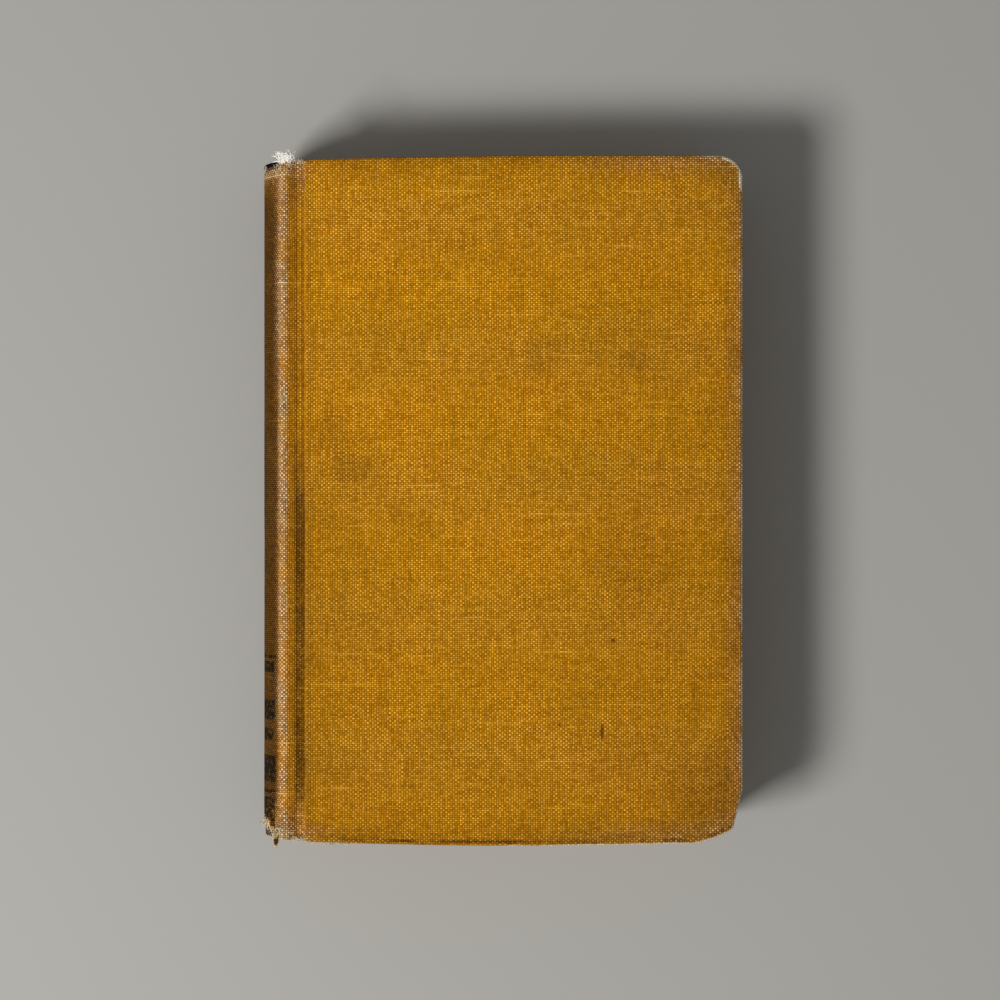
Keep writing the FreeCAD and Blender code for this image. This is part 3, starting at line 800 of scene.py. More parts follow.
@dataclass
class Endpaper:
    """A folded sheet of paper: one half pasted on the board, the other lying free on the leaves."""

    half: Half
    body: str
    replaced: tuple[str, ...]
    fly_level: float = 28.61 * MM
    fly_end: float = 94.1 * MM
    fly_fore: float = 64.2 * MM
    paste_fore: float = 64.1 * MM
    fold: float = -57.75 * MM
    fold_low: float = 28.68 * MM
    fold_high: float = 28.72 * MM
    step: float = 2.4 * MM
    row_share: float = 0.018

    def line(self) -> list[tuple[float, float]]:
        """The middle line of the sheet across the book: across and up, up to the joint side of the paste."""
        b = BOOK
        flat = [(x, self.fly_level) for x in ramp(self.fly_fore, self.fold + 0.5 * MM, self.step)]
        bend = [(self.fold + 0.2 * MM, self.fly_level + 0.005 * MM), (self.fold + 0.05 * MM, 28.65 * MM)]
        fold = [(self.fold, level) for level in ramp(self.fold_low, self.fold_high, 0.0035 * MM)]
        rise = [(self.fold + 0.06 * MM, 28.80 * MM), (self.fold + 0.25 * MM, 28.87 * MM)]
        rise += [(b.joint - 1.4 * MM, 28.95 * MM), (b.joint - 0.6 * MM, 29.0 * MM)]
        return flat + bend + fold + rise

    def pasted(self, x: float, y: float) -> float:
        """The level of the pasted half's middle, which drops where the cloth is turned in under it."""
        b = BOOK
        board, gauze = 29.24 * MM, 0.2 * MM
        inset = min(b.fore - x, b.cover_end - abs(y))
        low = smooth(inset, b.turn_in + 5.0 * MM, b.turn_in + 1.6 * MM)
        level = board - 0.4 * MM * low
        over_gauze = fade(x, -32.6, -33.8) * fade(abs(y), 83.3, 82.2)
        level -= gauze * over_gauze * (1 - low)
        return level + 0.008 * MM * rough(x, y, self.half.value, 14 * MM)

    def build(self) -> bpy.types.Object:
        """Builds the sheet with both of its faces and its cut edges."""
        b = BOOK
        spine_side = self.line()
        board_side = ramp(b.joint, self.paste_fore, self.step)
        ys = ramp(-1, 1, self.row_share)
        rings = []
        for x, level in spine_side:
            head = -min(self.fly_end, bumped_line(x, b.leaf_bump))
            rings.append([(x, y, level) for y in spread(head, self.fly_end, ys)])
        for x in board_side:
            head = b.paste_margin - head_line(x + b.paste_margin)
            tail = tail_line(x + b.paste_margin) - b.paste_margin
            rings.append([(x, y, self.pasted(x, y)) for y in spread(head, tail, ys)])
        sheet = SheetMesh(f"{self.half.name.lower()}_endpaper")
        run = [0.0]
        for before, after in zip(rings, rings[1:]):
            run.append(run[-1] + math.hypot(after[0][0] - before[0][0], after[0][2] - before[0][2]))
        front = self.half is Half.FRONT
        grids = {side: [] for side in (-1, 1)}
        for side, grid in grids.items():
            for i, ring in enumerate(rings):
                ahead, behind = rings[min(i + 1, len(rings) - 1)], rings[max(i - 1, 0)]
                row = []
                for j, (x, y, z) in enumerate(ring):
                    way = Vector((ahead[j][0] - behind[j][0], ahead[j][2] - behind[j][2])).normalized()
                    off = Vector((-way.y, way.x)) * side * b.paper / 2
                    spot = Vector((x + off.x, y, z + off.y))
                    if front:
                        spot.z = b.top - spot.z
                    row.append(sheet.add(ClothPoint(spot, Vector((run[i], y)))))
                grid.append(row)
        sheet.slab(grids[-1], grids[1], front)
        return sheet.finish(merged=False)

    def dress(self, piece: bpy.types.Object, finish: bpy.types.Material) -> None:
        """Gives the sheet its finish and hides the parts that it replaces."""
        piece.data.materials.append(finish)
        low, high = self.fold_low, self.fold_high
        if self.half is Half.FRONT:
            low, high = BOOK.top - low, BOOK.top - high
        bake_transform(piece)
        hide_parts(*self.replaced)


@dataclass
class Leaves:
    """The block of leaves, with each bundle of leaves a ledge of its own at head, tail and fore edge."""

    bundles: int = 100
    uneven: float = 0.12 * MM
    setback: float = 0.12 * MM
    lip_share: float = 0.12
    wave_height: float = 0.1 * MM
    step: float = 2.2 * MM
    row_share: float = 0.02
    seed: int = 17

    def spine_point(self, share: float) -> tuple[float, float]:
        """The place of the back folds at a share of the block's height, from -1 to 1."""
        b = BOOK
        up = b.tip_height * share
        across = b.axis - math.sqrt(b.leaf_radius**2 - up**2)
        return across, b.middle + up

    def bundle_line(self, share: float) -> list[tuple[float, float]]:
        """One leaf from its fold to the fore edge: across and up."""
        b = BOOK
        level = b.middle + b.leaves / 2 * share
        fold_x, fold_z = self.spine_point(share)
        fore_x = b.fore - b.fore_square - b.fore_hollow * (1 - share * share)
        line = [(fold_x, fold_z)]
        foot = b.leaf_foot + 1.5 * MM * (1 - abs(share))
        for t in (0.25, 0.5, 0.75, 0.9, 1.0):
            x = fold_x + (foot - fold_x) * t
            line.append((x, fold_z + (level - fold_z) * t))
        line += [(x, level) for x in ramp(foot, fore_x, self.step)[1:]]
        return line

    def bumped_fore(self, spot: Vector) -> float:
        """The fore edge's place at a spot, bumped in near the head."""
        b = BOOK
        rise = spot.y + b.bump_end - b.leaf_bump - b.bump_lift
        pushed = b.bump_in * (1 - rise / (b.bump_up - b.bump_lift))
        return min(spot.x, b.fore - b.leaf_bump - pushed) if rise < b.bump_up - b.bump_lift else spot.x

    def build(self) -> bpy.types.Object:
        """Builds the block as a skin of ledges."""
        b = BOOK
        rng = random.Random(self.seed)
        sheet = SheetMesh("leaf_block")
        levels = []
        for k in range(self.bundles):
            low, high = -1 + 2 * k / self.bundles, -1 + 2 * (k + 1) / self.bundles
            lip = self.lip_share * (high - low)
            out = {e: -self.uneven * rng.random() for e in ("head", "tail", "fore")}
            if k in (0, self.bundles - 1):
                out = {e: 0.0 for e in out}
            levels += [(low, 0.0, out), (low + lip, 1.0, out), (high - lip, 1.0, out), (high, 0.0, out)]
        columns = len(self.bundle_line(0.0))
        heads, tails, fores = [], [], []
        ys = ramp(-1, 1, self.row_share)
        for share, proud, out in levels:
            sunk = self.uneven * (1 - proud)
            line = self.bundle_line(share)
            line = line[: columns - 1] + [line[-1]] if len(line) > columns else line
            while len(line) < columns:
                line.insert(-1, ((line[-2][0] + line[-1][0]) / 2, line[-1][1]))
            wave = {e: self.wave_height * rough(share * 13 * MM, 0, i, 6 * MM) for i, e in enumerate(out)}
            head_y, tail_y = [b.leaf_end + out[e] + wave[e] - sunk - self.setback for e in ("head", "tail")]
            head_spots = [Vector((x, -min(head_y, bumped_line(x, b.leaf_bump) - sunk), z)) for x, z in line]
            heads.append([sheet.add(ClothPoint(s, Vector((s.x, s.z)))) for s in head_spots])
            tails.append([sheet.add(ClothPoint(Vector((x, tail_y, z)), Vector((x, z)))) for x, z in line])
            x, z = line[-1]
            low = head_spots[-1].y
            spots = [Vector((x, y, z)) for y in spread(low, tail_y, ys)]
            for spot in spots:
                spot.x = self.bumped_fore(spot) + out["fore"] + wave["fore"] - sunk
            fores.append([sheet.add(ClothPoint(s, Vector((s.y, z)))) for s in spots])
        sheet.strips(heads)
        sheet.strips(list(zip(*tails)))
        sheet.strips(fores)
        for lower, upper in zip(range(len(levels)), range(1, len(levels))):
            sheet.face((heads[lower][0], heads[upper][0], tails[upper][0], tails[lower][0]))
            sheet.face((heads[lower][-1], heads[upper][-1], fores[upper][0], fores[lower][0]))
            sheet.face((tails[lower][-1], fores[lower][-1], fores[upper][-1], tails[upper][-1]))
        for row, turned in ((0, True), (-1, False)):
            for i in range(columns - 1):
                corners = heads[row][i], heads[row][i + 1], tails[row][i + 1], tails[row][i]
                sheet.face(corners, turned)
            sheet.face((heads[row][-1], *fores[row], tails[row][-1]), turned)
        return sheet.finish(smooth_faces=False)

    def dress(self, piece: bpy.types.Object, finish: bpy.types.Material) -> None:
        """Gives the block its finish and its place."""
        piece.data.materials.append(finish)
        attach(piece, "text_block")
        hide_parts("page_block")


@dataclass
class EndBand:
    """A head or tail band: a cord wound with two colours of cotton, stuck on the end of the leaves."""

    end: End
    node: str
    winds: int = 46
    round_points: int = 14
    per_wind: int = 7
    wound: float = 0.09 * MM
    lean: float = 0.05

    def build(self) -> bpy.types.Object:
        """Builds the band as a ridged tube along the round back of the leaves."""
        b = BOOK
        low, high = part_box(self.node)
        radius = (high.y - low.y) / 2
        middle = (high.y + low.y) / 2
        sweep = math.asin(b.tip_height / b.leaf_radius)
        steps = self.winds * self.per_wind
        sheet = SheetMesh(f"{self.end.name.lower()}_band_wound")
        rings = []
        for i in range(steps + 1):
            phase = i / self.per_wind
            thick = radius - self.wound * (1 - abs(math.sin(math.pi * phase)))
            centre, away = round_back(-sweep + 2 * sweep * i / steps, middle, b.leaf_radius - radius)
            rings.append(sheet.ring(centre, (away, ALONG), thick, self.round_points, phase, self.lean))
        sheet.tube(rings)
        return sheet.finish()

    def dress(self, piece: bpy.types.Object, finish: bpy.types.Material) -> None:
        """Gives the band its finish and its place."""
        piece.data.materials.append(finish)
        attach(piece, "text_block")
        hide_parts(self.node)


@dataclass
class Frays:
    """Loose threads at one worn place, in millimetres: each a thin tube along a curling line."""

    name: str
    centre: Point
    spread: Point
    heading: Point
    count: int
    reach: float
    thickness: float
    curl: float
    seed: int
    scatter: float = 0.7
    ceiling: float = 32.05
    body: str = "text_block"
    steps: int = 12
    around: int = 5

    def build(self) -> bpy.types.Object:
        """Builds all the threads as one mesh."""
        rng = random.Random(self.seed)
        sheet = SheetMesh(self.name)
        for _ in range(self.count):
            start = Vector(self.centre)
            start += Vector([rng.uniform(-1, 1) * s for s in self.spread])
            start *= MM
            start.z = min(start.z, self.ceiling * MM)
            heading = Vector(self.heading).normalized()
            heading += Vector([rng.uniform(-1, 1) * self.scatter for _ in range(3)])
            bend = Vector([rng.uniform(-1, 1) * self.curl for _ in range(3)])
            self.thread(sheet, start, heading.normalized(), bend, self.reach * MM * rng.uniform(0.4, 1.1))
        return sheet.finish()

    def thread(self, sheet: SheetMesh, start: Vector, heading: Vector, bend: Vector, reach: float) -> None:
        """Adds one thread as a tapering tube.

        Args:
            sheet: The mesh that it goes to.
            start: Where it leaves the cloth.
            heading: Its way there.
            bend: How its way turns along it.
            reach: Its length.
        """
        spot, way, rings = start.copy(), heading.copy(), []
        for i in range(self.steps + 1):
            side = way.orthogonal().normalized()
            other = way.cross(side).normalized()
            thick = self.thickness * MM * (1 - 0.6 * (i / self.steps) ** 2)
            rings.append(sheet.ring(spot, (side, other), thick, self.around, i / self.steps))
            way = (way + bend.cross(way) / self.steps).normalized()
            bend = bend + Vector((0.4, -0.3, 0.2)) * self.curl / self.steps
            spot = spot + way * reach / self.steps
            spot.z = min(spot.z, self.ceiling * MM)
        sheet.tube(rings)

    def dress(self, piece: bpy.types.Object, finish: bpy.types.Material) -> None:
        """Gives the threads their finish and their place."""
        piece.data.materials.append(finish)
        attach(piece, self.body)


@dataclass
class CapCord:
    """The wound cord in the worn tail end of the spine, bare where the cloth has gone from it."""

    name: str = "cap_cord"
    y: float = 95.35 * MM
    radius: float = 0.62 * MM
    depth: float = 0.45 * MM
    half_sweep: float = 0.64
    winds: int = 26
    per_wind: int = 6
    around: int = 12

    def build(self) -> bpy.types.Object:
        """Builds the cord as a ridged tube that follows the round of the spine."""
        b = BOOK
        sheet = SheetMesh(self.name)
        rings = []
        steps = self.winds * self.per_wind
        for i in range(steps + 1):
            angle = self.half_sweep * (2 * i / steps - 1)
            centre, away = round_back(angle, self.y, b.spine_radius - self.depth)
            centre.y += 0.1 * MM * rough(angle * b.spine_radius, 0, 0, 3 * MM)
            thick = self.radius * (0.6 + 0.4 * abs(math.sin(math.pi * i / self.per_wind)))
            if i in (0, steps):
                thick *= 0.5
            rings.append(sheet.ring(centre, (away, ALONG), thick, self.around, i / self.per_wind))
        sheet.tube(rings)
        return sheet.finish()

    def dress(self, piece: bpy.types.Object, finish: bpy.types.Material) -> None:
        """Gives the cord its finish and its place."""
        piece.data.materials.append(finish)
        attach(piece, "text_block")


@dataclass
class TornTongue:
    """A tongue of cloth that is torn loose at the head of the spine and curls outwards."""

    name: str = "head_tongue"
    root: Point = (-64.4 * MM, -90.6 * MM, 28.0 * MM)
    length: float = 7.6 * MM
    width: float = 3.6 * MM
    rows: int = 14
    columns: int = 6

    def spot(self, share: float, side: float, face: float) -> Vector:
        """A point of it: how far along it, how far to a side from -1 to 1, and on which face."""
        half = self.width / 2 * (1 - 0.85 * share**1.6) * (1 + 0.12 * math.sin(9 * share))
        lift = 0.9 * MM * share * share + 0.25 * MM * (1 - side * side)
        x = self.root[0] + half * side + 0.5 * MM * math.sin(2.2 * share)
        y = self.root[1] - self.length * share
        drop = 0.55 * half * -side
        return Vector((x, y, self.root[2] - drop * 0.6 + lift + face * BOOK.cloth / 2))

    def build(self) -> bpy.types.Object:
        """Builds it with both faces and its edge."""
        sheet = SheetMesh(self.name)
        grids = {face: [] for face in (-1, 1)}
        for face, grid in grids.items():
            for i in range(self.rows + 1):
                row = []
                for j in range(self.columns + 1):
                    share, side = i / self.rows, 2 * j / self.columns - 1
                    torn = max(smooth(abs(side), 0.62, 0.9), smooth(share, 0.88, 0.97))
                    wear = Wear(rub=0.9 * torn, darkening=1 - 0.9 * torn, bare=0.8 * torn)
                    flat = Vector((share * self.length, side * self.width / 2 + 0.3))
                    row.append(sheet.add(ClothPoint(self.spot(share, side, face), flat, wear)))
                grid.append(row)
        sheet.slab(grids[-1], grids[1])
        return sheet.finish()

    def dress(self, piece: bpy.types.Object, finish: bpy.types.Material) -> None:
        """Gives the tongue its finish and its place."""
        piece.data.materials.append(finish)
        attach(piece, "text_block")


class Wiring:
    """Places nodes in one tree and joins them."""

    def __init__(self, tree: bpy.types.NodeTree) -> None:
        """Works in a tree that exists.

        Args:
            tree: The tree.
        """
        self.tree = tree

    def place(self, kind: str, **settings: object) -> bpy.types.Node:
        """Places a node of a kind, with its settings."""
        node = self.tree.nodes.new(kind)
        for name, value in settings.items():
            setattr(node, name, value)
        return node

    def feed(self, socket: Socket, value: object) -> None:
        """Joins a value's socket to a socket, or sets the number or colour there."""
        if isinstance(value, bpy.types.NodeSocket):
            self.tree.links.new(value, socket)
        elif socket.type == "RGBA" and len(value) == 3:
            socket.default_value = (*value, 1.0)
        else:
            socket.default_value = value

    def math(self, operation: str, *values: object, clamp: bool = False) -> Socket:
        """The result of a sum of numbers."""
        node = self.place("ShaderNodeMath", operation=operation, use_clamp=clamp)
        for socket, value in zip(node.inputs, values):
            self.feed(socket, value)
        return node.outputs[0]

    def times(self, first: object, second: object) -> Socket:
        """One number times another."""
        return self.math("MULTIPLY", first, second)

    def plus(self, first: object, second: object, clamp: bool = False) -> Socket:
        """One number and another, kept from 0 to 1 if clamped."""
        return self.math("ADD", first, second, clamp=clamp)

    def minus(self, first: object, second: object) -> Socket:
        """One number less another."""
        return self.math("SUBTRACT", first, second)

    def scaled(self, value: object, factor: object, more: object, clamp: bool = False) -> Socket:
        """A number times a factor, and another number, kept from 0 to 1 if clamped."""
        return self.math("MULTIPLY_ADD", value, factor, more, clamp=clamp)

    def vector(self, operation: str, *values: object) -> Socket:
        """The result of a sum of vectors."""
        node = self.place("ShaderNodeVectorMath", operation=operation)
        for socket, value in zip(node.inputs, values):
            self.feed(socket, value)
        return node.outputs["Value" if operation in ("LENGTH", "DISTANCE") else "Vector"]

    def split(self, vector: Socket) -> tuple[Socket, Socket, Socket]:
        """The three parts of a vector."""
        node = self.place("ShaderNodeSeparateXYZ")
        self.feed(node.inputs[0], vector)
        return tuple(node.outputs)

    def joined(self, x: object, y: object, z: object = 0.0) -> Socket:
        """A vector of three parts."""
        node = self.place("ShaderNodeCombineXYZ")
        for socket, value in zip(node.inputs, (x, y, z)):
            self.feed(socket, value)
        return node.outputs[0]

    def step(self, value: Socket, low: object, high: object) -> Socket:
        """A smooth step from 0 at low to 1 at high."""
        node = self.place("ShaderNodeMapRange", interpolation_type="SMOOTHSTEP")
        self.feed(node.inputs["Value"], value)
        self.feed(node.inputs["From Min"], low)
        self.feed(node.inputs["From Max"], high)
        return node.outputs[0]

    def noise(self, vector: Socket, scale: float, detail: float = 2.0) -> Socket:
        """Smooth noise from 0 to 1."""
        node = self.place("ShaderNodeTexNoise")
        self.feed(node.inputs["Vector"], vector)
        self.feed(node.inputs["Scale"], scale)
        self.feed(node.inputs["Detail"], detail)
        return node.outputs[0]

    def sway(self, vector: Socket, scale: float, reach: object) -> Socket:
        """Smooth noise about 0, as far as reach."""
        return self.times(self.minus(self.noise(vector, scale), 0.5), reach)

    def mix(self, factor: object, first: object, second: object, way: str = "MIX") -> Socket:
        """Two colours mixed."""
        node = self.place("ShaderNodeMix", data_type="RGBA", blend_type=way)
        self.feed(node.inputs["Factor"], factor)
        self.feed(node.inputs[6], first)
        self.feed(node.inputs[7], second)
        return node.outputs[2]

    def shaded(self, colour: Socket, brightness: Socket) -> Socket:
        """A colour times a brightness."""
        return self.mix(1.0, colour, self.joined(brightness, brightness, brightness), "MULTIPLY")

    def tinted(self, mask: Socket, strength: object, colour: Socket, tint: object) -> Socket:
        """A colour that turns towards a tint as far as a mask times a strength."""
        return self.mix(self.times(mask, strength), colour, tint)

    def level(self, factor: object, first: object, second: object) -> Socket:
        """Two numbers mixed."""
        node = self.place("ShaderNodeMix", data_type="FLOAT")
        self.feed(node.inputs["Factor"], factor)
        self.feed(node.inputs[2], first)
        self.feed(node.inputs[3], second)
        return node.outputs[0]

    def cloth_place(self) -> Socket:
        """The place on the flat cloth."""
        return self.place("ShaderNodeUVMap", uv_map="Cloth").outputs[0]

    def object_place(self) -> Socket:
        """The place in the object."""
        return self.place("ShaderNodeTexCoord").outputs["Object"]

    def value(self, name: str) -> Socket:
        """A value kept with the mesh's points."""
        return self.place("ShaderNodeAttribute", attribute_name=name).outputs["Fac"]

    def use(self, group: bpy.types.NodeTree, **values: object) -> bpy.types.NodeOutputs:
        """Places a group with its inputs set by name, and returns its outputs."""
        node = self.place("ShaderNodeGroup", node_tree=group)
        for name, value in values.items():
            self.feed(node.inputs[name.replace("_", " ").title()], value)
        return node.outputs

    def bump(self, height: Socket, distance: float, strength: float = 1.0) -> Socket:
        """A surface normal raised by a height."""
        node = self.place("ShaderNodeBump")
        self.feed(node.inputs["Height"], height)
        self.feed(node.inputs["Distance"], distance)
        self.feed(node.inputs["Strength"], strength)
        return node.outputs[0]


def new_group(name: str, inputs: dict[str, str], outputs: dict[str, str]) -> tuple[Wiring, dict, dict]:
    """An empty shader node group.

    Args:
        name: The group's name.
        inputs: The kind of each input socket, by name.
        outputs: The kind of each output socket, by name.

    Returns:
        Its wiring, its inputs' sockets and its outputs' sockets by name.
    """
    tree = bpy.data.node_groups.new(name, "ShaderNodeTree")
    for side, sockets in (("INPUT", inputs), ("OUTPUT", outputs)):
        for label, kind in sockets.items():
            tree.interface.new_socket(name=label, in_out=side, socket_type=f"NodeSocket{kind}")
    wiring = Wiring(tree)
    start, stop = wiring.place("NodeGroupInput"), wiring.place("NodeGroupOutput")
    return wiring, {n: start.outputs[n] for n in inputs}, {n: stop.inputs[n] for n in outputs}


def weave_group() -> bpy.types.NodeTree:
    """Plain weave: threads over and under each other, uneven in tone and place, with slubs."""
    kinds = {"Cloth": "Vector", "Warp Pitch": "Float", "Weft Pitch": "Float", "Wander": "Float"}
    results = {"Height": "Float", "Dot": "Float", "Tone": "Float", "Slub": "Float"}
    w, given, out = new_group("plain_weave", kinds, results)
    x, y, _ = w.split(given["Cloth"])
    drift = w.sway(given["Cloth"], 260, given["Wander"])
    sway = w.sway(given["Cloth"], 190, given["Wander"])
    u = w.plus(w.math("DIVIDE", x, given["Warp Pitch"]), drift)
    v = w.plus(w.math("DIVIDE", y, given["Weft Pitch"]), sway)
    warp, weft = w.math("FLOOR", u), w.math("FLOOR", v)
    over = w.times(w.math("FRACT", w.times(w.plus(warp, weft), 0.5)), 2)
    round_u = w.math("SINE", w.times(w.math("FRACT", u), math.pi))
    round_v = w.math("SINE", w.times(w.math("FRACT", v), math.pi))
    warp_up = w.times(w.math("POWER", round_u, 0.7), w.scaled(round_v, 0.6, 0.4))
    weft_up = w.times(w.math("POWER", round_v, 0.7), w.scaled(round_u, 0.6, 0.25))
    raised = w.level(over, weft_up, warp_up)
    warp_tone = w.noise(w.joined(w.times(warp, 0.83), w.times(y, 60)), 1.0, 1)
    weft_tone = w.noise(w.joined(w.times(x, 60), w.times(weft, 0.79), 5), 1.0, 1)
    slub_line = w.noise(w.joined(w.times(x, 38), w.times(weft, 1.37), 3), 1.0, 1)
    slub = w.times(w.step(slub_line, 0.63, 0.78), round_v)
    w.feed(out["Height"], w.scaled(slub, 0.35, raised))
    crossing = w.place("ShaderNodeTexWhiteNoise", noise_dimensions="2D")
    w.feed(crossing.inputs["Vector"], w.joined(warp, weft))
    bright = w.scaled(crossing.outputs["Value"], 1.0, 0.5)
    dot = w.times(w.math("POWER", w.times(round_u, round_v), 0.8), bright)
    w.feed(out["Dot"], w.times(dot, w.level(over, 0.44, 1.0)))
    w.feed(out["Tone"], w.level(over, weft_tone, warp_tone))
    w.feed(out["Slub"], slub)
    return w.tree


def mottle_group() -> bpy.types.NodeTree:
    """Cloudy unevenness in two sizes of patch, about 1."""
    kinds = {"Place": "Vector", "Patches": "Float", "Flecks": "Float", "Spread": "Float"}
    w, given, out = new_group("mottle", kinds, {"Value": "Float"})
    big = w.noise(given["Place"], given["Patches"], 3)
    small = w.noise(given["Place"], given["Flecks"], 4)
    both = w.plus(w.times(big, 1.2), w.times(small, 0.8))
    w.feed(out["Value"], w.scaled(w.minus(both, 1.0), given["Spread"], 1.0))
    return w.tree


def wear_group() -> bpy.types.NodeTree:
    """Breaks a smooth amount of wear up into flecks, on the high points first."""
    kinds = {"Amount": "Float", "Place": "Vector", "Height": "Float", "Grain": "Float"}
    w, given, out = new_group("broken_wear", kinds, {"Mask": "Float"})
    speck = w.noise(given["Place"], given["Grain"], 3)
    reach = w.scaled(given["Height"], 0.35, w.times(speck, 0.9))
    level = w.scaled(given["Amount"], -1.05, 1.35)
    w.feed(out["Mask"], w.step(w.minus(reach, level), -0.13, 0.16))
    return w.tree


def blot_group() -> bpy.types.NodeTree:
    """One soft or ragged spot, at a place and of a size across and along."""
    kinds = {"Cloth": "Vector", "Middle": "Vector", "Reach": "Vector", "Ragged": "Float"}
    w, given, out = new_group("blot", kinds, {"Mask": "Float"})
    away = w.vector("DIVIDE", w.vector("SUBTRACT", given["Cloth"], given["Middle"]), given["Reach"])
    uneven = w.sway(given["Cloth"], 700, given["Ragged"])
    w.feed(out["Mask"], w.step(w.plus(w.vector("LENGTH", away), uneven), 1.0, 0.35))
    return w.tree


def fibre_group() -> bpy.types.NodeTree:
    """Fine matted fibres of paper or board, with darker specks."""
    kinds = {"Place": "Vector", "Scale": "Float"}
    w, given, out = new_group("fibres", kinds, {"Height": "Float", "Tone": "Float", "Speck": "Float"})
    long_way = w.vector("MULTIPLY", given["Place"], (1.0, 0.22, 1.0))
    cross_way = w.vector("MULTIPLY", given["Place"], (0.25, 1.0, 1.0))
    first = w.noise(long_way, given["Scale"], 4)
    second = w.noise(cross_way, given["Scale"], 4)
    w.feed(out["Height"], w.math("MAXIMUM", first, second))
    w.feed(out["Tone"], w.times(w.plus(first, second), 0.5))
    w.feed(out["Speck"], w.step(w.noise(given["Place"], w.times(given["Scale"], 0.4)), 0.7, 0.76))
    return w.tree


class Effects:
    """The shader node groups, each built once."""

    def __init__(self) -> None:
        """Builds them all."""
        self.weave = weave_group()
        self.mottle = mottle_group()
        self.wear = wear_group()
        self.blot = blot_group()
        self.fibres = fibre_group()


class Surface(Wiring):
    """A new material's tree, with its Principled shader."""

    def __init__(self, name: str) -> None:
        """Makes the material.

        Args:
            name: Its name.
        """
        self.material = bpy.data.materials.new(name)
        self.material.use_nodes = True
        super().__init__(self.material.node_tree)
        self.inputs = self.tree.nodes["Principled BSDF"].inputs

    def show(
        self, colour: object, roughness: object, normal: Optional[Socket], specular: float
    ) -> bpy.types.Material:
        """Gives the shader its colour and surface.

        Args:
            colour: The base colour.
            roughness: The roughness.
            normal: The surface normal, or None for an even surface.
            specular: The specular level.

        Returns:
            The material.
        """
        self.feed(self.inputs["Base Color"], colour)
        self.feed(self.inputs["Roughness"], roughness)
        self.inputs["Specular IOR Level"].default_value = specular
        if normal is not None:
            self.feed(self.inputs["Normal"], normal)
        return self.material


@dataclass(frozen=True)
class Mark:
    """A spot on the back cover: its place and its reach both ways in millimetres, and how strong it is."""

    across: float
    along: float
    reach_across: float
    reach_along: float
    strength: float
    ragged: float = 0.5
    pale: bool = False


MARKS = (
    # The first mark is a thin painted shadow of the board's edge along the joint; the second a fainter dark
    # line in the groove.
    Mark(-56.7, 0.0, 0.6, 160.0, 0.6, 0.4),
    Mark(-58.6, -10.0, 0.45, 150.0, 0.35, 0.6),
    Mark(28.4, -65.3, 0.7, 3.2, 0.75),
    Mark(31.5, -39.4, 0.9, 0.8, 0.7),
    Mark(16.5, -63.4, 0.8, 0.9, 0.6),
    Mark(-42.8, 8.6, 9.0, 6.0, 0.2, 0.9),
    Mark(-48.4, 19.9, 6.0, 9.0, 0.2, 0.9),
    Mark(12.3, 41.1, 9.0, 8.0, 0.13, 0.9),
    Mark(39.1, 39.6, 9.0, 6.0, 0.12, 0.9),
    Mark(39.0, -16.8, 20.0, 15.0, 0.13, 0.9),
    Mark(59.0, -82.0, 18.0, 15.0, 0.2, 0.9),
    Mark(-15.4, 40.2, 1.6, 0.3, 0.7, 0.4, True),
    Mark(-53.0, -92.2, 5.0, 0.4, 0.6, 0.7, True),
    Mark(-54.5, -93.6, 3.4, 0.35, 0.5, 0.7, True),
    Mark(-9.4, 59.4, 6.0, 0.25, 0.25, 0.7, True),
    Mark(31.0, -17.6, 7.0, 0.3, 0.3, 0.8, True),
)


@dataclass(frozen=True)
class Bar:
    """A plain stamped bar across the spine, in millimetres: its middle, its height and its half width."""

    along: float
    height: float
    half_width: float


BARS = (
    Bar(-44.3, 0.9, 13.6),
    Bar(-47.2, 3.2, 12.8),
    Bar(-59.4, 5.6, 13.2),
    Bar(-66.6, 3.4, 12.2),
    Bar(-76.2, 7.4, 13.6),
    Bar(-82.6, 0.9, 13.6),
    Bar(-87.6, 6.6, 13.0),
)


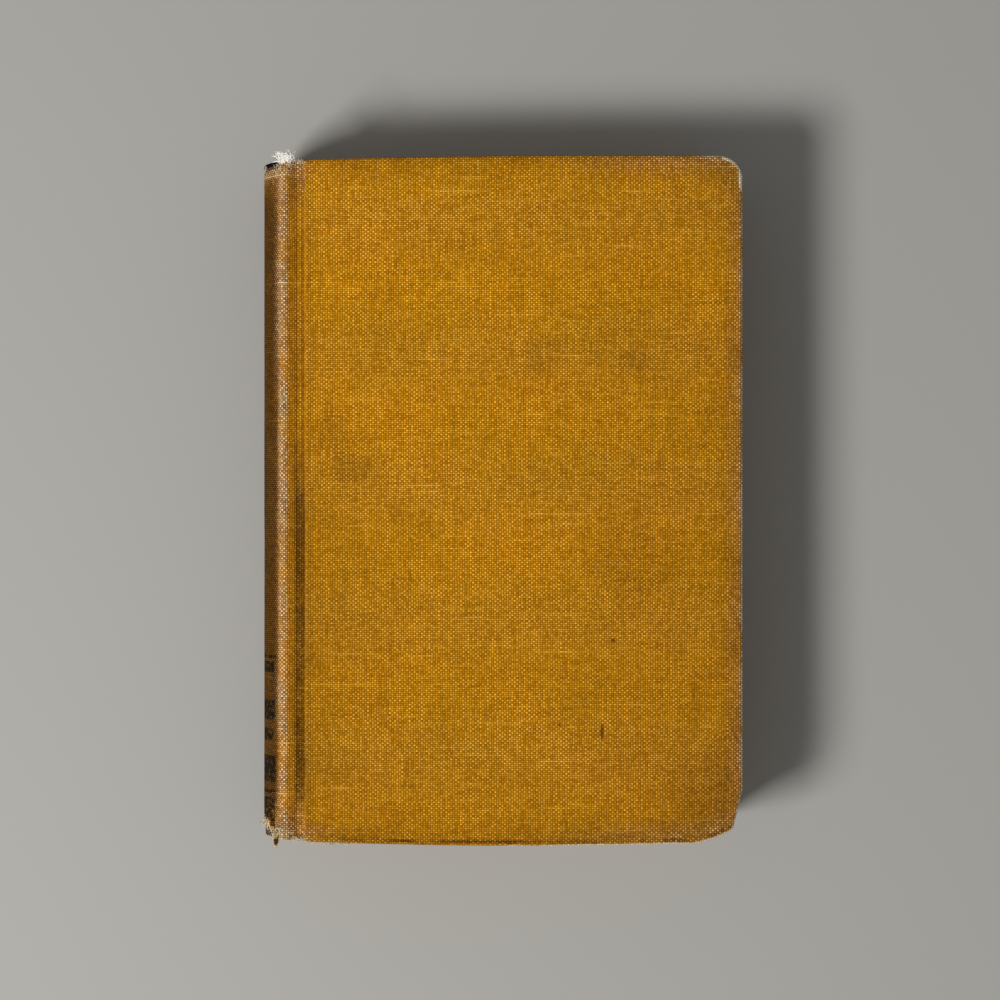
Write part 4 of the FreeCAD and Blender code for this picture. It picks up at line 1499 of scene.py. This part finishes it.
@dataclass(frozen=True)
class BookCloth:
    """Ochre book cloth in a coarse plain weave, with painted highlights on its thread tops and painted shade
    between them: rubbed on ridges and edges, soiled on spine and joints, with painted shade in places.
    """

    name: str = "book_cloth"
    # Thread tops and gaps: partly the threads' own tones, partly a painted highlight on the tops and painted
    # shade in the gaps.
    dot: Colour = linear(232, 168, 24)
    warm_dot: Colour = linear(229, 163, 26)
    # A painted highlight on the crowns of the threads.
    crown: Colour = linear(246, 200, 96)
    gap: Colour = linear(152, 91, 0)
    warm_gap: Colour = linear(148, 86, 0)
    rubbed_dot: Colour = linear(234, 182, 132)
    worn_dot: Colour = linear(250, 226, 176)
    worn_gap: Colour = linear(98, 60, 22)
    red_gap: Colour = linear(112, 52, 28)
    # The colours that darkening turns the cloth to, for soil and for painted shade alike.
    darkened_dot: Colour = linear(116, 76, 26)
    darkened_gap: Colour = linear(40, 24, 4)
    core_dot: Colour = linear(240, 232, 208)
    core_gap: Colour = linear(170, 148, 108)
    mark: Colour = linear(70, 34, 14)
    pale: Colour = linear(226, 178, 148)
    ink: Colour = linear(14, 15, 12)
    warp_pitch: float = 0.69 * MM
    weft_pitch: float = 0.573 * MM
    marked: bool = True

    def make(self, effects: Effects, spine_middle: float) -> bpy.types.Material:
        """Makes the material.

        Args:
            effects: The shader node groups.
            spine_middle: The place of the spine's middle line on the flat cloth.

        Returns:
            The material.
        """
        w = Surface(self.name)
        cloth = w.cloth_place()
        weave = w.use(
            effects.weave, cloth=cloth, warp_pitch=self.warp_pitch, weft_pitch=self.weft_pitch, wander=0.75
        )
        rub, darkening, bare = w.value("rub"), w.value("darkening"), w.value("bare")
        tone = w.scaled(w.minus(weave["Tone"], 0.5), 0.9, 1.0)
        dots = w.plus(weave["Dot"], w.times(weave["Slub"], 0.42), clamp=True)
        warm = w.step(w.noise(cloth, 34.0, 3), 0.42, 0.62)
        gaps = w.mix(warm, self.gap, self.warm_gap)
        # Painted light on the weave: bright thread tops over shaded gaps.
        colour = w.mix(dots, gaps, w.mix(warm, self.dot, self.warm_dot))
        # Painted highlight on the crowns of the threads.
        colour = w.tinted(w.math("POWER", dots, 3.0), 0.42, colour, self.crown)
        clouds = w.use(effects.mottle, place=cloth, patches=32.0, flecks=260.0, spread=0.42)["Value"]
        bright = w.times(tone, clouds)
        colour = w.shaded(colour, bright)
        if self.marked:
            colour = self.with_marks(w, effects, cloth, colour, dots)
        # Darkening from the mesh's values: soil, and painted shade and shadow where they stand for it.
        darkening_flecks = w.use(effects.wear, amount=darkening, place=cloth, height=0.4, grain=900.0)["Mask"]
        dark = w.scaled(darkening, 0.7, w.times(darkening_flecks, 0.3), clamp=True)
        colour = w.mix(dark, colour, w.mix(dots, self.darkened_gap, self.darkened_dot))
        rubbed = w.use(effects.wear, amount=rub, place=cloth, height=weave["Height"], grain=1400.0)["Mask"]
        reddened = w.mix(w.step(w.noise(cloth, 300.0), 0.4, 0.65), self.worn_gap, self.red_gap)
        paled = w.scaled(rub, 0.7, w.times(rubbed, 0.3))
        thread = w.mix(paled, self.rubbed_dot, self.worn_dot)
        worn = w.mix(w.math("POWER", dots, 1.4), reddened, thread)
        worn_share = w.scaled(rubbed, 0.5, w.times(rub, 0.55), clamp=True)
        colour = w.mix(worn_share, colour, worn)
        colour = w.mix(self.stamp(w, cloth, spine_middle), colour, self.ink)
        core = w.step(w.scaled(w.noise(cloth, 1100.0), 0.5, bare), 0.62, 0.8)
        colour = w.mix(core, colour, w.mix(dots, self.core_gap, self.core_dot))
        hole = w.step(w.scaled(w.noise(cloth, 1500.0), 0.5, bare), 1.1, 1.16)
        w.feed(w.inputs["Alpha"], w.minus(1.0, hole))
        fuzz = w.scaled(w.noise(cloth, 5200.0), 0.25, weave["Height"])
        return w.show(colour, w.level(rubbed, 0.74, 0.92), w.bump(fuzz, 0.16 * MM, 0.9), 0.02)

    def with_marks(self, w: Wiring, effects: Effects, cloth: Socket, colour: Socket, dots: Socket) -> Socket:
        """The colour with the cover's spots on it, and a painted shadow of the board's edge along the joint.
        """
        for mark in MARKS:
            mask = w.use(
                effects.blot,
                cloth=cloth,
                middle=(mark.across * MM, mark.along * MM, 0.0),
                reach=(mark.reach_across * MM, mark.reach_along * MM, 1.0),
                ragged=mark.ragged,
            )["Mask"]
            strength = w.times(mask, mark.strength)
            if mark.pale:
                colour = w.tinted(strength, dots, colour, self.pale)
            else:
                colour = w.mix(strength, colour, self.mark)
        return colour

    def stamp(self, w: Wiring, cloth: Socket, spine_middle: float) -> Socket:
        """How strongly the stamped bars of the spine show, rubbed away in places."""
        across, along, _ = w.split(cloth)
        around = w.minus(across, spine_middle)
        shown = 0.0
        for bar in BARS:
            off = w.math("ABSOLUTE", w.minus(along, bar.along * MM))
            inside = w.step(off, (bar.height / 2 + 0.1) * MM, (bar.height / 2 - 0.1) * MM)
            ends = w.step(around, (bar.half_width + 0.15) * MM, (bar.half_width - 0.15) * MM)
            shown = w.math("MAXIMUM", shown, w.times(inside, ends))
        left = w.step(w.noise(cloth, 800.0, 3), 0.36, 0.5)
        return w.times(shown, w.times(left, 0.9))


@dataclass(frozen=True)
class Paper:
    """Paper or board: matted fibres, toned towards its edges, with specks and spots of age."""

    name: str
    ground: Colour
    toned: Colour
    speck: Colour
    fibre_scale: float = 1400.0
    foxing: float = 0.4
    relief: float = 0.03 * MM
    roughness: float = 0.85
    toned_from: Optional[tuple[float, float]] = None

    def make(self, effects: Effects) -> bpy.types.Material:
        """Makes the material."""
        w = Surface(self.name)
        place = w.object_place()
        fibres = w.use(effects.fibres, place=place, scale=self.fibre_scale)
        clouds = w.use(effects.mottle, place=place, patches=28.0, flecks=190.0, spread=0.5)["Value"]
        age = w.step(clouds, 1.12, 0.9)
        if self.toned_from:
            x, y, _ = w.split(place)
            side = w.math("ABSOLUTE", w.minus(x, 4 * MM))
            near_x = w.step(side, self.toned_from[0] - 14 * MM, self.toned_from[0])
            near_y = w.step(w.math("ABSOLUTE", y), self.toned_from[1] - 16 * MM, self.toned_from[1])
            age = w.math("MAXIMUM", w.times(age, 0.5), w.math("MAXIMUM", near_x, near_y))
        colour = w.mix(age, self.ground, self.toned)
        fine = w.scaled(fibres["Tone"], 0.36, 0.82)
        colour = w.shaded(colour, fine)
        colour = w.tinted(fibres["Speck"], 0.45, colour, self.speck)
        spots = w.step(w.noise(place, 150.0, 3), 0.66, 0.74)
        colour = w.tinted(spots, self.foxing, colour, self.speck)
        roughness = w.level(fibres["Tone"], self.roughness - 0.08, self.roughness)
        return w.show(colour, roughness, w.bump(fibres["Height"], self.relief, 0.7), 0.3)


@dataclass(frozen=True)
class LeafEdges:
    """The edges of many leaves: fine lines of light and dark, toned and dusty."""

    name: str = "leaf_edges"
    ground: Colour = linear(224, 204, 164)
    toned: Colour = linear(176, 142, 96)
    line: Colour = linear(112, 84, 52)
    lines: float = 5200.0

    def make(self, effects: Effects) -> bpy.types.Material:
        """Makes the material."""
        w = Surface(self.name)
        place = w.object_place()
        fine = w.noise(w.vector("MULTIPLY", place, (22.0, 22.0, self.lines)), 1.0, 2)
        broad = w.noise(w.vector("MULTIPLY", place, (14.0, 14.0, 900.0)), 1.0, 2)
        clouds = w.use(effects.mottle, place=place, patches=26.0, flecks=320.0, spread=0.5)["Value"]
        colour = w.mix(w.step(clouds, 1.5, 0.5), self.ground, self.toned)
        colour = w.tinted(w.step(fine, 0.52, 0.7), 0.5, colour, self.line)
        colour = w.tinted(w.step(broad, 0.47, 0.66), 0.45, colour, self.line)
        specks = w.step(w.noise(place, 520.0, 2), 0.71, 0.77)
        colour = w.tinted(specks, 0.6, colour, self.line)
        normal = w.bump(w.plus(fine, broad), 0.05 * MM, 0.8)
        return w.show(colour, w.level(fine, 0.78, 0.92), normal, 0.25)


@dataclass(frozen=True)
class Gauze:
    """Open starched gauze, stiff with glue between its threads."""

    name: str = "gauze"
    thread: Colour = linear(206, 190, 158)
    glue: Colour = linear(142, 112, 72)
    pitch: float = 1.1 * MM

    def make(self, effects: Effects) -> bpy.types.Material:
        """Makes the material."""
        w = Surface(self.name)
        x, y, z = w.split(w.object_place())
        flat = w.joined(w.plus(x, z), y)
        weave = w.use(effects.weave, cloth=flat, warp_pitch=self.pitch, weft_pitch=self.pitch, wander=0.8)
        clouds = w.use(effects.mottle, place=flat, patches=60.0, flecks=420.0, spread=0.5)["Value"]
        colour = w.mix(w.step(weave["Height"], 0.45, 0.8), self.glue, self.thread)
        colour = w.shaded(colour, clouds)
        roughness = w.level(weave["Height"], 0.45, 0.85)
        return w.show(colour, roughness, w.bump(weave["Height"], 0.12 * MM, 0.9), 0.5)


@dataclass(frozen=True)
class Wound:
    """Thread, seen along its length or wound side by side: twisted strands in two tones."""

    name: str
    first: Colour
    second: Colour
    twist: float
    mapped: bool = True
    darkening: Colour = linear(40, 30, 20)
    soiled: float = 0.7
    sheen: float = 0.1
    specular: float = 0.2

    def make(self, effects: Effects) -> bpy.types.Material:
        """Makes the material."""
        w = Surface(self.name)
        if self.mapped:
            run, _, _ = w.split(w.cloth_place())
        else:
            x, y, z = w.split(w.object_place())
            run = w.plus(w.plus(x, z), w.times(y, 1.6))
        strands = w.scaled(w.math("SINE", w.times(run, self.twist)), 0.5, 0.5)
        spot = w.object_place()
        clouds = w.use(effects.mottle, place=spot, patches=150.0, flecks=900.0, spread=0.8)["Value"]
        colour = w.mix(w.step(strands, 0.35, 0.65), self.first, self.second)
        colour = w.tinted(w.step(clouds, 1.05, 0.7), self.soiled, colour, self.darkening)
        w.inputs["Sheen Weight"].default_value = self.sheen
        normal = w.bump(w.plus(strands, w.noise(spot, 6000.0)), 0.04 * MM, 0.8)
        return w.show(colour, w.level(strands, 0.7, 0.9), normal, self.specular)


PAPERS = (
    Paper("greyboard", linear(206, 194, 166), linear(168, 150, 118), linear(96, 80, 60), 900.0, 0.3),
    Paper("spine_card", linear(86, 58, 34), linear(52, 34, 20), linear(24, 16, 10), 1100.0, 0.5),
    Paper(
        "endpaper", linear(226, 212, 182), linear(196, 168, 122), linear(140, 98, 54), 1800.0, 0.35,
        0.02 * MM, 0.8, (62 * MM, 94 * MM),
    ),
    Paper("kraft_paper", linear(124, 90, 56), linear(92, 62, 36), linear(52, 36, 22), 1300.0, 0.4),
)

THREADS = (
    Wound("band_cotton", linear(60, 42, 28), linear(158, 128, 86), math.pi),
    Wound("loose_threads", linear(255, 254, 250), linear(240, 234, 220), 30.0, soiled=0.1),
    Wound("rubbed_threads", linear(232, 218, 186), linear(196, 170, 122), 30.0, soiled=0.4),
    Wound("cap_cotton", linear(8, 6, 5), linear(30, 23, 16), math.tau, sheen=0.0, specular=0.02),
    Wound("linen_thread", linear(222, 208, 176), linear(176, 152, 112), 9000.0, mapped=False),
)


@dataclass
class Stage:
    """The floor, the light and the camera, which looks straight down."""

    floor_half: float = 6.0
    floor_drop: float = 0.15 * MM
    floor_tone: Colour = linear(163, 161, 156)
    key_from: Point = (-0.62, -0.36, 0.76)
    key_away: float = 1.5
    key_size: float = 0.42
    key_power: float = 23.0
    fill: float = 0.27
    seen_fill: float = 0.5
    camera_height: float = 0.85
    frame_width: float = 0.2822
    sensor: float = 36.0
    book_middle: Point = (-0.42 * MM, 0.14 * MM, 0.0)

    def floor(self) -> None:
        """The plain pale floor under the book."""
        mesh = bpy.data.meshes.new("floor")
        half = self.floor_half
        corners = [(-half, -half), (half, -half), (half, half), (-half, half)]
        mesh.from_pydata([(x, y, -self.floor_drop) for x, y in corners], [], [(0, 1, 2, 3)])
        floor = bpy.data.objects.new("floor", mesh)
        bpy.context.scene.collection.objects.link(floor)
        mesh.materials.append(Surface("floor").show(self.floor_tone, 0.9, None, 0.1))

    def light(self) -> None:
        """One large soft lamp from the left of the head, and an even fill."""
        lamp = bpy.data.lights.new("key", "AREA")
        lamp.size = self.key_size
        lamp.energy = self.key_power
        key = bpy.data.objects.new("key", lamp)
        away = Vector(self.key_from).normalized()
        key.location = away * self.key_away
        key.rotation_euler = away.to_track_quat("Z", "Y").to_euler()
        bpy.context.scene.collection.objects.link(key)
        world = bpy.data.worlds.new("studio")
        bpy.context.scene.world = world
        world.use_nodes = True
        w = Wiring(world.node_tree)
        fill = world.node_tree.nodes["Background"]
        path = w.place("ShaderNodeLightPath").outputs
        seen = w.math("MAXIMUM", path["Is Camera Ray"], path["Is Glossy Ray"])
        seen = w.math("MAXIMUM", seen, path["Is Transmission Ray"])
        fill.inputs["Color"].default_value = (1.0, 1.0, 1.0, 1.0)
        w.feed(fill.inputs["Strength"], w.level(seen, self.fill, self.seen_fill))

    def camera(self) -> None:
        """The camera, straight above the cover."""
        data = bpy.data.cameras.new("overhead")
        data.sensor_width = self.sensor
        data.lens = self.sensor * self.camera_height / self.frame_width
        camera = bpy.data.objects.new("overhead", data)
        camera.location = Vector(self.book_middle) + Vector((0, 0, BOOK.top + self.camera_height))
        bpy.context.scene.collection.objects.link(camera)
        bpy.context.scene.camera = camera

    def build(self) -> None:
        """Builds all three."""
        bpy.context.scene.view_settings.view_transform = "Standard"
        self.camera()
        self.floor()
        self.light()


FRAYS = (
    Frays("tail_tuft", (-61.0, 95.4, 31.0), (1.5, 0.4, 0.4), (0.0, 1.0, 0.2), 260, 3.7, 0.14, 1.2, 3, 0.36),
    Frays(
        "tail_flank_threads", (-67.0, 94.4, 20.0), (0.4, 0.4, 3.6), (-0.5, 0.9, 0.3),
        26, 1.4, 0.08, 1.6, 5,
    ),
    Frays("tail_ridge_threads", (-61.6, 93.8, 30.9), (2.6, 1.2, 0.5), (0.1, 0.7, 0.5), 60, 2.2, 0.07, 1.6, 8),
    Frays("tail_joint_threads", (-57.4, 95.4, 31.0), (2.2, 0.4, 0.4), (0.2, 1.0, 0.4), 40, 1.4, 0.07, 1.6, 6),
    Frays(
        "head_flank_threads", (-66.6, -91.0, 22.0), (0.8, 1.0, 5.0), (-0.6, -0.9, 0.4),
        70, 2.8, 0.09, 1.6, 7,
    ),
    Frays(
        "head_ridge_threads", (-62.2, -93.2, 30.6), (2.6, 1.2, 0.9), (-0.2, -1.0, 0.4),
        110, 2.4, 0.09, 1.6, 11,
    ),
    Frays(
        "head_edge_threads", (-49.0, -96.7, 31.6), (6.5, 0.25, 0.2), (0.8, -0.4, 0.0),
        90, 1.2, 0.06, 2.2, 13, 1.0, body="back_cover",
    ),
    Frays(
        "head_joint_threads", (-56.6, -95.2, 31.1), (2.6, 0.5, 0.4), (0.3, -1.0, 0.3),
        60, 1.6, 0.07, 1.6, 12,
    ),
)


def main() -> None:
    """Builds the book's pieces, dresses them and writes how large they are."""
    logging.basicConfig(level=logging.INFO, format="%(name)s: %(message)s")
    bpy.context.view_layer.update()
    Stage().build()
    effects = Effects()
    back = CaseHalf(Half.BACK, "back_cover", ("back_cloth", "spine_cloth"))
    front = CaseHalf(Half.FRONT, "front_cover", ("front_cloth", "spine_cloth"))
    cloth = BookCloth().make(effects, back.spine_middle())
    plain = BookCloth(name="front_book_cloth", marked=False).make(effects, back.spine_middle())
    papers = {paper.name: paper.make(effects) for paper in PAPERS}
    threads = {thread.name: thread.make(effects) for thread in THREADS}
    details = [(back, cloth), (front, plain)]
    for half in Half:
        side = half.name.lower()
        endpaper = Endpaper(half, f"{side}_cover", (f"{side}_pastedown", f"{side}_flyleaf"))
        details.append((endpaper, papers["endpaper"]))
    details.append((Leaves(), LeafEdges().make(effects)))
    for end in End:
        details.append((EndBand(end, f"{end.name.lower()}_band"), threads["band_cotton"]))
    for frays in FRAYS:
        finish = "loose_threads" if frays.name == "tail_tuft" else "rubbed_threads"
        details.append((frays, threads[finish]))
    details += [(CapCord(), threads["cap_cotton"]), (TornTongue(), cloth)]
    for detail, finish in details:
        piece = detail.build()
        detail.dress(piece, finish)
        log.info("%s: %d points, %d faces", piece.name, len(piece.data.vertices), len(piece.data.polygons))
    gauze = Gauze().make(effects)
    finishes = {
        "back_board": papers["greyboard"],
        "front_board": papers["greyboard"],
        "spine_card": papers["spine_card"],
        "spine_lining": papers["kraft_paper"],
        "spine_mull": gauze,
        "back_mull_flap": gauze,
        "front_mull_flap": gauze,
        "sewing_thread": threads["linen_thread"],
    }
    for name, material in finishes.items():
        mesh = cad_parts[name].data
        mesh.materials.clear()
        mesh.materials.append(material)


if __name__ == "__main__":
    main()
